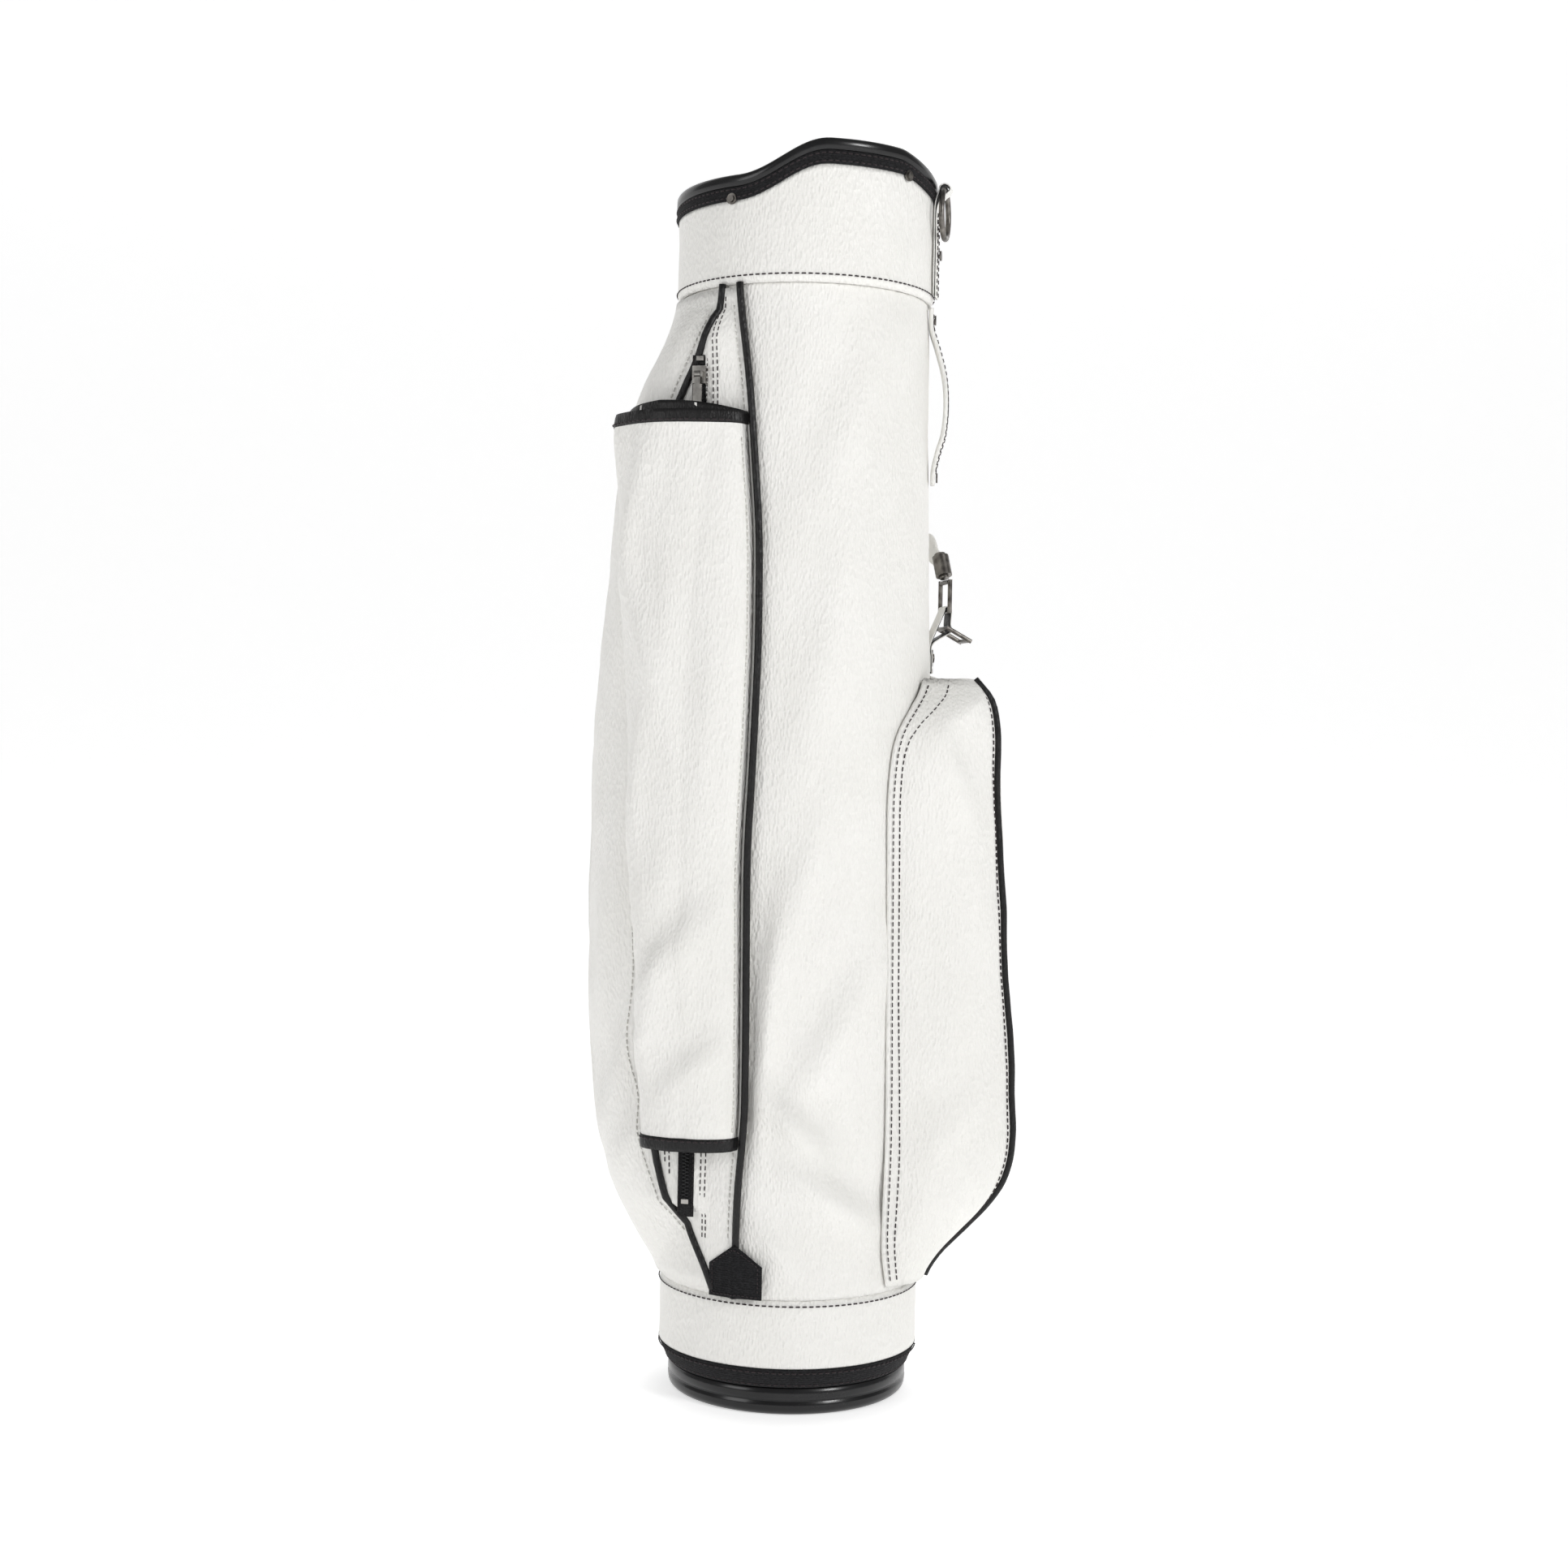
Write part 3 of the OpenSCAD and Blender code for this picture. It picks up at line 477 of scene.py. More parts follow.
def dress_cad_nodes():
    """CAD nodes that no piece replaces show in their slot's material."""
    slots = {row["node"]: row["material_slot"] for row in frame["record"]["subparts"]}
    for node, obj in frame["nodes"].items():
        mat = SLOT_MATERIALS[slots[node]]
        if "zip_tape" in node:
            mat = TAPE
        for s in obj.material_slots:
            s.material = mat
        if not obj.material_slots:
            obj.data.materials.append(mat)


# ---- Barrel, cuffs and base ----

AROUND = 200
LINING_THICK = 0.0006
CUFF_FACE = CUFF_R - 0.0004
LIP = 0.009
BAND = 0.009


def around():
    return [2 * math.pi * j / AROUND for j in range(AROUND)]


def round_point(a, r, z):
    return Vector((r * math.cos(a), r * math.sin(a), z))


def level(a):
    """Heights counted from the floor, at any angle."""
    return 0.0


def rim_top(a):
    """Height of the collar's top at an angle: low at -X, swept up to +X, where it falls a little."""
    drop, dip = 0.023, 0.010
    x = CUFF_R * math.cos(a)
    swoop = min(1.0, max(0.0, (x + 0.048) / 0.063))
    fall = min(1.0, max(0.0, (x - 0.064) / 0.0275))
    return BAG_H - drop * (1 + math.cos(math.pi * swoop)) / 2 - dip * fall ** 1.3


def ring_row(r, z, base=level):
    return [round_point(a, r, base(a) + z) for a in around()]


def revolve(profile, base=level):
    """A ring-shaped solid from a profile of (radius, height over the base) pairs."""
    verts = [round_point(a, r, base(a) + z) for a in around() for r, z in profile]
    k = len(profile)
    faces = []
    for j in range(AROUND):
        n = (j + 1) % AROUND
        for c in range(k):
            d = (c + 1) % k
            faces.append((j * k + c, n * k + c, n * k + d, j * k + d))
    return verts, faces


def tube_rows(steps, place, lift):
    """Rows round the bag: place(angle, share of the height), pushed outward by lift(point, share)."""
    rows = []
    for i in range(steps + 1):
        row = []
        for a in around():
            p = place(a, i / steps)
            row.append(p - to_axis(p) * lift(p, i / steps))
        rows.append(row)
    return rows


def add_lining(name, rows, inset, every):
    """A dark sheet inside a skin, on every few of its rows."""
    inside = [[p + to_axis(p) * inset for p in row] for row in rows[::every]]
    add(name, *skin(inside, LINING_THICK, to_axis, closed=True), LINING, slot="webbing_black")


def sew(name, rows, thread=THREAD, slot="webbing_black", body="bag"):
    add(name, *merge(rows), thread, body=body, slot=slot)


def make_barrel():
    steps = 200
    fade_rows = 6

    def place(a, s):
        z = BARREL_Z0 + (BARREL_Z1 - BARREL_Z0) * s
        return round_point(a, barrel_r(z), z)

    def lift(p, s):
        fade = min(1.0, s * steps / fade_rows, (1 - s) * steps / fade_rows)
        soft = folds(p, 0.0013, 0.06, 0.19) + folds(p, 0.0005, 0.02, 0.05, 8.0)
        return (soft + creases(p, BARREL_CREASES)) * fade - 0.0006

    rows = tube_rows(steps, place, lift)
    add("barrel_skin", *skin(rows, COVER, to_axis, closed=True), WHITE, slot="leatherette_white",
        replaces=["barrel_shell"])
    add_lining("barrel_lining", rows, 0.0024, 4)


def make_collar():
    """Moulded rim with a rounded lip, webbing under it, and the padded cuff below."""
    outer = CUFF_R + 0.0012
    inner = CUFF_R - 0.0057
    wall = 0.003
    foot = -0.045
    mid = (outer + inner) / 2
    half = (outer - inner) / 2
    arc = [(mid + half * math.cos(math.radians(a)), -half + half * math.sin(math.radians(a)))
           for a in range(0, 181, 20)]
    skirt = [(inner, -0.03), (inner, foot), (inner + wall, foot), (inner + wall, -LIP)]
    profile = [(outer, -LIP + 0.0008), (outer, -half - 0.001)] + arc + skirt
    add("collar_rim", *revolve(profile, rim_top), GLOSS, slot="plastic_black", replaces=["top_collar"])
    tape = [(CUFF_R + 0.0008, -LIP - BAND), (CUFF_R + 0.0011, -LIP - BAND + 0.001),
            (CUFF_R + 0.0011, -LIP - 0.001), (CUFF_R + 0.0007, -LIP), (CUFF_R - 0.0015, -LIP),
            (CUFF_R - 0.0015, -LIP - BAND)]
    add("rim_webbing", *revolve(tape, rim_top), WEB, slot="webbing_black", replaces=["top_webbing_band"])

    def place(a, s):
        top = rim_top(a) - LIP - BAND + 0.001
        return round_point(a, CUFF_FACE, BARREL_Z1 - 0.001 + (top - BARREL_Z1) * s)

    def lift(p, s):
        rolled = 0.0022 * max(0.0, 1 - s * 12) ** 2
        return folds(p, 0.0006, 0.06, 0.06) * min(1, 4 * s, 4 - 4 * s) - rolled

    rows = tube_rows(24, place, lift)
    add("collar_cuff", *skin(rows, COVER, to_axis, closed=True), WHITE, slot="leatherette_white",
        replaces=["top_cuff"])
    add_lining("collar_lining", rows, 0.0036, 3)
    hem = 0.0018
    sew("collar_stitching", [stitches(ring_row(CUFF_R + 0.0001, BARREL_Z1 + 0.004)),
                             stitches(ring_row(outer, hem - LIP - BAND, rim_top)),
                             stitches(ring_row(outer, -hem - LIP, rim_top))])


def make_base():
    """The lower cuff, the webbing under it, and the moulded cup with its groove and liner."""
    def place(a, s):
        return round_point(a, CUFF_FACE, CUFF_Z0 + (BARREL_Z0 - CUFF_Z0) * s)

    def lift(p, s):
        rolled = 0.002 * max(0.0, s * 9 - 8) ** 2
        return folds(p, 0.0007, 0.06, 0.05, 3.0) * min(1, 4 * s, 4 - 4 * s) - rolled

    rows = tube_rows(16, place, lift)
    add("bottom_cuff_skin", *skin(rows, 0.0024, to_axis, closed=True), WHITE, slot="leatherette_white",
        replaces=["bottom_cuff"])
    r = BASE_R
    web = [(r - 0.001, 0.0195), (r + 0.0008, 0.0197), (r + 0.0035, 0.0245),
           (CUFF_R - 0.0006, CUFF_Z0 - 0.001), (CUFF_R - 0.0002, CUFF_Z0 + 0.001),
           (CUFF_R - 0.004, CUFF_Z0), (r - 0.003, 0.025)]
    add("base_webbing", *revolve(web), WEB, slot="webbing_black", replaces=["base_binding"])
    fillet = 0.006
    curve = [(r - fillet + fillet * math.sin(math.radians(a)), fillet - fillet * math.cos(math.radians(a)))
             for a in range(0, 91, 10)]
    groove = [(r + 0.0002, 0.0085), (r - 0.0009, 0.0095), (r - 0.0009, 0.0105), (r + 0.0002, 0.0115)]
    liner = [(r, 0.0185), (r - 0.001, 0.019), (r - 0.0031, 0.019), (r - 0.0031, 0.069), (r - 0.0058, 0.069)]
    floor = [(r - 0.0058, 0.005), (r - 0.0068, 0.004), (0.0005, 0.004), (0.0005, 0.0015), (0.03, 0.0012),
             (0.032, 0.0), (0.0715, 0.0)]
    add("base_moulding", *revolve(curve + groove + liner + floor), GLOSS, slot="plastic_black",
        replaces=["base_cup"])
    sew("base_stitching", [stitches(ring_row(CUFF_R + 0.0002, BARREL_Z0 - 0.004)),
                           stitches(ring_row(CUFF_R - 0.0004, CUFF_Z0 - 0.0022)),
                           stitches(ring_row(r + 0.0019, 0.0215))])


# ---- Pockets ----

HEM = 0.006
CROWN = 0.0015
PIPING_LIFT = 0.0016
STITCH_LIFT = 0.0016
SKIN_LIFT = 0.0008
LID_SHARES = (0.02, 0.06, 0.12, 0.2, 0.32, 0.45, 0.6, 0.75, 0.88, 1.0)
# Stitch lines beside the apparel zip: offset round the pocket, lower and upper end
ZIP_HEMS = ((-0.0115, 0.168, 0.66), (-0.009, 0.16, 0.66), (0.0105, 0.118, 0.76), (0.0135, 0.118, 0.76))


def levels(z0, z1, step=0.007):
    n = max(2, round((z1 - z0) / step))
    return [z0 + (z1 - z0) * i / n for i in range(n + 1)]


def seam_a(z):
    """Angle of the apparel pocket's front seam from -X."""
    return math.acos(smooth(z, SEAM_X, 0.02) / barrel_r(z))


def edge_a(z):
    """Angle of the apparel pocket's front edge from -X."""
    return math.radians(smooth(z, EDGE_A, 0.02))


def ball_seam_a(z):
    """Angle of the ball pocket's front seam from +X."""
    return math.acos(min(0.98, smooth(z, BALL_SEAM_X, 0.01) / barrel_r(z)))


def looseness(r, z):
    """How freely the fabric waves: none on the barrel, all of it 20 mm off."""
    return min(1.0, max(0.0, (r - barrel_r(z)) / 0.02))


def apparel_point(a, z, lift=0.0):
    """On the apparel pocket's skin, with its soft folds, flatter along the zip."""
    r = apparel_r(a, z)
    p = polar(-1, a, r, z)
    pull = folds(p, 0.0034, 0.045, 0.15, 7.0) + folds(p, 0.0012, 0.02, 0.05, 2.0) + creases(p, POCKET_CREASES)
    flat_span, dent = 0.13, 0.0018
    off_zip = (a - ZIP_A) / flat_span
    pull = pull * (1 - math.exp(-off_zip * off_zip)) - dent * math.exp(-4 * off_zip * off_zip)
    return polar(-1, a, r + pull * looseness(r, z) + SKIN_LIFT + lift, z)


def ball_point(a, z, lift=0.0):
    """On the ball pocket's skin, with its soft folds."""
    r = ball_r(a, z)
    p = polar(1, a, r, z)
    pull = folds(p, 0.0026, 0.05, 0.16, 11.0) + folds(p, 0.0009, 0.02, 0.05, 5.0) + creases(p, BALL_CREASES)
    return polar(1, a, r + pull * looseness(r, z) + SKIN_LIFT + lift, z)


def panel_rows(point, a0, a1, zs, across):
    """Rows across a sewn panel that swells a little between its seams."""
    rows = []
    for z in zs:
        lo, hi = a0(z), a1(z)
        row = []
        for i in range(across + 1):
            s = i / across
            row.append(point(lo + (hi - lo) * s, z, CROWN * (1 - (2 * s - 1) ** 6)))
        rows.append(row)
    return rows


def piping(name, line, node):
    points = [p - to_axis(p) * PIPING_LIFT for p in line]
    add(name, *sweep(points, round_section(PIPING_R)), TRIM, slot="leather_black", replaces=[node])


def make_apparel_pocket():
    zs = levels(APPAREL_Z0, APPAREL_Z1)
    top = APPAREL_Z1 + 0.003
    hem_a = HEM / 0.095
    zip_r = 0.101
    parts = (("apparel_front_gusset", edge_a, seam_a, 28),
             ("apparel_outer_panel", lambda z: -edge_a(z), edge_a, 64),
             ("apparel_rear_gusset", lambda z: -seam_a(z), lambda z: -edge_a(z), 28))
    for node, a0, a1, across in parts:
        rows = panel_rows(apparel_point, a0, a1, zs, across)
        add(node + "_skin", *skin(rows, SHEET, to_axis), WHITE, slot="leatherette_white", replaces=[node])
    for side, word in ((1, "front"), (-1, "rear")):
        for line, kind, foot in ((seam_a, "seam", 0.112), (edge_a, "edge", APPAREL_Z0)):
            path = [apparel_point(side * line(z), z) for z in levels(foot, top, 0.006)]
            piping(f"{word}_{kind}_cord", path, f"{word}_{kind}_piping")
        rows = [stitches([apparel_point(side * (line(z) - hem_a), z, STITCH_LIFT)
                          for z in levels(0.12, 0.755, 0.01)]) for line in (seam_a, edge_a)]
        sew(word + "_pocket_stitching", rows, PALE_THREAD, "leatherette_white")
    rows = [stitches([apparel_point(ZIP_A + offset / zip_r, z, STITCH_LIFT) for z in levels(z0, z1, 0.01)])
            for offset, z0, z1 in ZIP_HEMS]
    sew("zip_side_stitching", rows)


def make_patches():
    """House-shaped webbing patches over the seam pipings' lower ends, with a raised ridge."""
    z0, wall, peak, half = 0.0805, 0.022, 0.036, 0.019
    patch_r = 0.0935
    n = 14
    parts, thread = [], []
    for side in (1, -1):
        mid = side * seam_a(0.1)
        rows = []
        for i in range(n + 1):
            row = []
            for j in range(n + 1):
                u = 2 * j / n - 1
                top = wall + (peak - wall) * (1 - abs(u))
                ridge = 0.0032 * max(0.0, 1 - abs(u) * 5) + 0.0026
                a = mid - side * u * half / patch_r
                z = z0 + top * i / n
                row.append(polar(-1, a, max(barrel_r(z), apparel_r(a, z) + 0.001) + ridge, z))
            rows.append(row)
        parts.append(skin(rows, 0.0012, to_axis))
        outline = [rows[1][k] for k in range(1, n)] + [rows[i][n - 1] for i in range(2, n - 1)]
        outline += [rows[n - 1][k] for k in range(n - 1, 0, -1)] + [rows[i][1] for i in range(n - 2, 0, -1)]
        thread.append(stitches([p - to_axis(p) * 0.0004 for p in outline], 0.002, 0.003, 0.0004))
    add("seam_end_patches", *merge(parts), WEB, slot="webbing_black", replaces=["piping_end_patches"])
    sew("patch_stitching", thread)


def ball_lid(top):
    """Rows that close a panel's top, running in from its upper edge to the barrel with a soft sag."""
    inner = barrel_r(BALL_Z1) + 0.0006
    rows = []
    for s in LID_SHARES:
        row = []
        for p in top:
            flat = Vector((p.x, p.y, 0))
            r = flat.length
            q = flat.normalized() * (r + (inner - r) * s)
            sag = 0.010 * math.sin(math.pi * s) ** 1.5 * min(1.0, (r - inner) / 0.02)
            dimple = 0.010 * math.exp(-((q.x - 0.093) / 0.01) ** 2 - ((q.y + 0.03) / 0.018) ** 2)
            rounded = 0.0045 * min(1.0, math.sqrt(min(1.0, s * 5)))
            q.z = BALL_Z1 - 0.0045 + rounded - sag * (0.6 + 0.6 * noise.noise(q * 30)) - dimple
            row.append(q)
        rows.append(row)
    return rows


def make_ball_pocket():
    zs = levels(BALL_Z0, BALL_Z1 - 0.003, 0.006)
    seam_r, edge_r = 0.094, 0.14
    lid_z = 0.49

    def inward(p):
        return to_axis(p) * 0.7 + Vector((0, 0, -0.7 * (p.z > lid_z)))

    parts = (("ball_front_gusset", lambda z: BALL_EDGE_A, ball_seam_a),
             ("ball_outer_panel", lambda z: -BALL_EDGE_A, lambda z: BALL_EDGE_A),
             ("ball_rear_gusset", lambda z: -ball_seam_a(z), lambda z: -BALL_EDGE_A))
    for node, a0, a1 in parts:
        rows = panel_rows(ball_point, a0, a1, zs, 26)
        rows += ball_lid(rows[-1])
        add(node + "_skin", *skin(rows, SHEET, inward), WHITE, slot="leatherette_white", replaces=[node])
    for side, word in ((1, "front"), (-1, "rear")):
        line = [ball_point(side * BALL_EDGE_A, z) for z in levels(BALL_Z0, BALL_Z1 - 0.003, 0.005)]
        piping(f"ball_{word}_cord", line, f"ball_{word}_piping")
        rows = [stitches([ball_point(side * (ball_seam_a(z) + offset / seam_r), z, 0.0018)
                          for z in levels(0.088, BALL_Z1 - 0.005, 0.01)]) for offset in (-0.003, -0.009)]
        rows.append(stitches([ball_point(side * (BALL_EDGE_A + 0.0065 / edge_r), z, STITCH_LIFT)
                              for z in levels(0.1, BALL_Z1 - 0.008, 0.01)]))
        sew(f"ball_{word}_stitching", rows, THREAD if side == 1 else PALE_THREAD)


# ---- Umbrella sleeve ----

# Left fold as (height, distance from the axis towards -X)
SLEEVE_X = [(0.181, 0.099), (0.285, 0.1075), (0.38, 0.1135), (0.45, 0.1165), (0.56, 0.1215), (0.678, 0.1275)]
SLEEVE_FULL = 0.031
SLEEVE_BACK = 0.0185
SLEEVE_STEPS = 44
SLEEVE_HEM = 0.012
BINDING_TALL = 0.009
sleeve_sides = {}


def find_fold(z):
    """The least angle, in half degrees, at which the left fold stands no further out than its line."""
    fold = 15
    while fold < 50:
        a = math.radians(fold)
        if (apparel_r(a, z) + 0.009) * math.cos(a) <= smooth(z, SLEEVE_X, 0.02):
            break
        fold += 0.5
    return math.radians(fold)


def sleeve_angle(s, z):
    """From the left fold, at s = 0, to the front seam, at s = 1."""
    key = round(z, 4)
    if key not in sleeve_sides:
        sleeve_sides[key] = (find_fold(z), seam_a(z) - 0.042)
    a0, a1 = sleeve_sides[key]
    return a0 + (a1 - a0) * s


def hump(s):
    """Rises from 0 at both folds to 1 between them."""
    return math.sin(math.pi * min(max(s, 0.0), 1.0))


def sleeve_front(s, z, lift=0.0):
    """Front layer, s from 0 at the left fold to 1 at the seam."""
    a = sleeve_angle(s, z)
    base = apparel_r(a, z) + 0.0022
    p = polar(-1, a, base, z)
    drape = folds(p, 0.0036, 0.03, 0.2, 21.0) + folds(p, 0.001, 0.014, 0.06, 4.0) + creases(p, SLEEVE_CREASES)
    return polar(-1, a, base + hump(s) ** 0.42 * (SLEEVE_FULL - 0.008 * s + drape) + lift, z)


def sleeve_back(s, z):
    """Back layer, that lies on the pocket and stands a little higher at the mouth."""
    a = sleeve_angle(s, z)
    rise = 0.007 * hump(s) * max(0.0, 1 - (SLEEVE_Z1 - z) / 0.03)
    return polar(-1, a, apparel_r(a, z) + OFF_BARREL + hump(s) ** 0.6 * SLEEVE_BACK, z + rise)


def sleeve_centre(z):
    return (sleeve_front(0.5, z) + sleeve_back(0.5, z)) / 2


def binding_strip(layer, shares, z0):
    """A leather strip folded over one layer's edge."""
    rings = []
    for s in shares:
        base = [layer(s, z0 + BINDING_TALL * k / 4) for k in range(5)]
        out = base[2] - sleeve_centre(z0 + BINDING_TALL / 2)
        out.z = 0
        out.normalize()
        shell = [b + out * (0.0011 if 0 < k < 4 else 0.0007) for k, b in enumerate(base)]
        rings.append(shell + [b - out * 0.0019 for b in reversed(base)])
    k = len(rings[0])
    end = (len(rings) - 1) * k
    faces = [(i + c, i + k + c, i + k + (c + 1) % k, i + (c + 1) % k)
             for i in range(0, end, k) for c in range(k)]
    faces += [tuple(range(k)), tuple(range(end + k - 1, end - 1, -1))]
    return [p for ring in rings for p in ring], faces


def make_sleeve():
    n = SLEEVE_STEPS
    rows = []
    for z in levels(SLEEVE_Z0, SLEEVE_Z1, 0.008):
        rows.append([sleeve_front(i / n, z) for i in range(n + 1)] +
                    [sleeve_back(i / n, z) for i in range(n - 1, 0, -1)])

    def inward(p):
        return (sleeve_centre(p.z) - p).normalized()

    add("umbrella_sleeve_tube", *skin(rows, 0.0012, inward, closed=True), WHITE, slot="leatherette_white",
        replaces=["umbrella_sleeve"])
    shares = [i / n for i in range(n + 1)]
    past, hem = 0.0008, 0.0018
    for name, node, z0, hem_z in (
            ("sleeve_top_edge", "sleeve_top_binding", SLEEVE_Z1 - BINDING_TALL + past, hem),
            ("sleeve_bottom_edge", "sleeve_bottom_binding", SLEEVE_Z0 - past, BINDING_TALL - hem)):
        parts = [binding_strip(sleeve_front, shares, z0), binding_strip(sleeve_back, shares[1:-1], z0)]
        add(name, *merge(parts), TRIM, slot="leather_black", replaces=[node])
        sew(name + "_stitching", [stitches([sleeve_front(s / 40, z0 + hem_z, 0.0014) for s in range(1, 40)])])
    seam_z = levels(SLEEVE_Z0 + SLEEVE_HEM, SLEEVE_Z1 - SLEEVE_HEM, 0.01)
    sew("sleeve_seam_stitching", [stitches([sleeve_front(0.985, z, 0.0012) for z in seam_z])], PALE_THREAD,
        "leatherette_white")


# ---- Zips ----

# Angle that each zip's flat side is turned to, in degrees
ZIP_TURN = {"apparel": -12, "ball": 155}
TOOTH_PITCH = 0.0024
# Corners of one tooth: across the zip, up, and out of it, the outer four drawn in
TOOTH_CORNERS = ((-1, -1, -1), (1, -1, -1), (1, 1, -1), (-1, 1, -1),
                 (-1, -1, 0.3), (1, -1, 0.3), (1, 1, 0.3), (-1, 1, 0.3))
TOOTH_FACES = [(0, 3, 2, 1), (4, 5, 6, 7), (0, 1, 5, 4), (1, 2, 6, 5), (2, 3, 7, 6), (3, 0, 4, 7)]


def tooth(centre, side, face):
    """A small block, half its size given by three reaches."""
    across, up, out = 0.0015, 0.00055, 0.0007
    verts = []
    for du, dz, dn in TOOTH_CORNERS:
        inset = 0.75 if dn > 0 else 1.0
        verts.append(centre + side * du * across * inset + Vector((0, 0, dz * up * inset)) + face * dn * out)
    return verts, TOOTH_FACES


def make_zip(word):
    """Woven tape with its two rows of teeth, standing where the CAD zip stands."""
    node_tape, node_teeth = word + "_zip_tape", word + "_zip_teeth"
    lo, hi = low(node_teeth), high(node_teeth)
    mid = (lo + hi) / 2
    turn = math.radians(ZIP_TURN[word])
    side = Vector((math.cos(turn), math.sin(turn), 0))
    face = Vector((math.sin(turn), -math.cos(turn), 0))
    teeth = []
    for i in range(int((hi.z - lo.z) / TOOTH_PITCH)):
        for s in (-1, 1):
            z = lo.z + TOOTH_PITCH * (i + 0.5 + s / 4)
            teeth.append(tooth(Vector((mid.x, mid.y, z)) + side * s * 0.0009, side, face))
    add(word + "_zip_coil", *merge(teeth), MATTE, slot="plastic_inner", replaces=[node_teeth])
    low_z, high_z = low(node_tape).z, high(node_tape).z
    centre = (low(node_tape) + high(node_tape)) / 2

    def on_tape(u, z, out):
        return Vector((centre.x, centre.y, z)) + side * u + face * out

    half, crown, seam = 0.0056, 0.0005, 0.0049
    rows = [[on_tape(u * half, z, 0.0004 - crown * abs(u)) for u in (-1, -0.6, -0.35, 0, 0.35, 0.6, 1)]
            for z in levels(low_z, high_z, 0.01)]
    add(word + "_zip_web", *skin(rows, 0.0009, lambda p: -face), TAPE, slot="webbing_black",
        replaces=[node_tape])
    lines = [[on_tape(u * seam, z, 0.0006) for z in levels(low_z, high_z, 0.02)] for u in (-1, 1)]
    sew(word + "_zip_stitching", [stitches(line, 0.0024, 0.0034, 0.00035) for line in lines])


# ---- Handle, tabs, chapes and strap ----

# Degrees round the bag from +X, as in the CAD model
HANDLE_ANGLE = -4
TAB_ANGLE = -12
LOWER_CHAPE_ANGLE = 12.9
UPPER_CHAPE_ANGLE = 46.5
STRAP_AXIS_R = 0.1077
CHAPE_WIDTH = 0.016
CHAPE_WIRE = 0.002
# The handle as (distance from the axis, height) and the strap as (X, Y, height), all in millimetres
HANDLE_ROUTE = [(89.8, 764), (90, 750), (94, 737), (99.5, 716), (101, 695), (99.5, 676), (95.8, 663),
                (93, 650), (92.6, 640)]
STRAP_ROUTE = [(102.3, 29.8, 588), (98, 37.5, 593), (93, 52, 602), (84, 72, 592), (70, 92, 545),
               (52, 107, 485), (30, 120, 435), (8, 127, 412), (-12, 127, 440), (-20, 126, 520),
               (-14, 126, 600), (2, 123, 660), (20, 119, 696), (40, 111, 714), (56, 100, 722),
               (65, 90, 724), (70, 82.5, 725), (76.3, 74.8, 725.5)]


def metres(points):
    return [Vector(p) / 1000 for p in points]


def strap_section(width, thick, round_edge=0.35):
    """A flat section with soft edges, counter-clockwise."""
    sides = 20
    points = []
    for k in range(sides):
        c, s = math.cos(2 * math.pi * k / sides), math.sin(2 * math.pi * k / sides)
        points.append((width / 2 * math.copysign(abs(c) ** round_edge, c),
                       thick / 2 * math.copysign(abs(s) ** 0.8, s)))
    return points


def curve_through(points, count):
    """A smooth line through a few points (Catmull-Rom)."""
    ends = [points[0]] + list(points) + [points[-1]]
    out = []
    spans = len(points) - 1
    for k in range(count + 1):
        t = k / count * spans
        i = min(int(t), spans - 1)
        u = t - i
        a, b, c, d = ends[i:i + 4]
        out.append(0.5 * (2 * b + (c - a) * u + (2 * a - 5 * b + 4 * c - d) * u * u
                          + (3 * b - a - 3 * c + d) * u ** 3))
    return out


def pad_section(s):
    """The strap's section at a share of its length: webbing at both ends, padded between."""
    e = min(s, 1 - s)
    width = lookup(e, [(0, 0.009), (0.03, 0.018), (0.1, 0.022), (0.17, 0.03), (0.25, 0.05)])
    thick = lookup(e, [(0, 0.003), (0.12, 0.0034), (0.2, 0.005), (0.26, 0.0085)])
    return strap_section(width, thick)


def strap_seam(line, side, inset):
    """Points on the strap's outer face, an inset from one edge, where it is wide enough."""
    row = []
    for i, p in enumerate(line[6:-6], 6):
        shape = pad_section(i / (len(line) - 1))
        t = (line[i + 1] - line[i - 1]).normalized()
        w = t.cross(-to_axis(p)).normalized()
        half = max(x for x, y in shape)
        tall = max(y for x, y in shape)
        q = p + w * side * (half - inset) + w.cross(t) * (tall * 0.93 + 0.0003)
        runs_back = row and (q - row[-1]).dot(t) < 0.001
        if half > inset + 0.002 and not runs_back:
            row.append(q)
    return row


def make_strap():
    """One padded strap between its two end fittings, with two rows of stitching along each edge."""
    line = resample(curve_through(metres(STRAP_ROUTE), 300), 0.003)
    pad = add("shoulder_strap_pad", *sweep(line, pad_section), WHITE, body="strap", slot="leatherette_white",
              replaces=["shoulder_strap"], subdiv=1)
    seams = [strap_seam(line, side, inset) for side in (-1, 1) for inset in (0.0045, 0.009)]
    sew("strap_stitching", [stitches(row) for row in seams if len(row) > 2], body="strap")


def on_side(angle, p):
    return Matrix.Rotation(math.radians(angle), 4, "Z") @ p


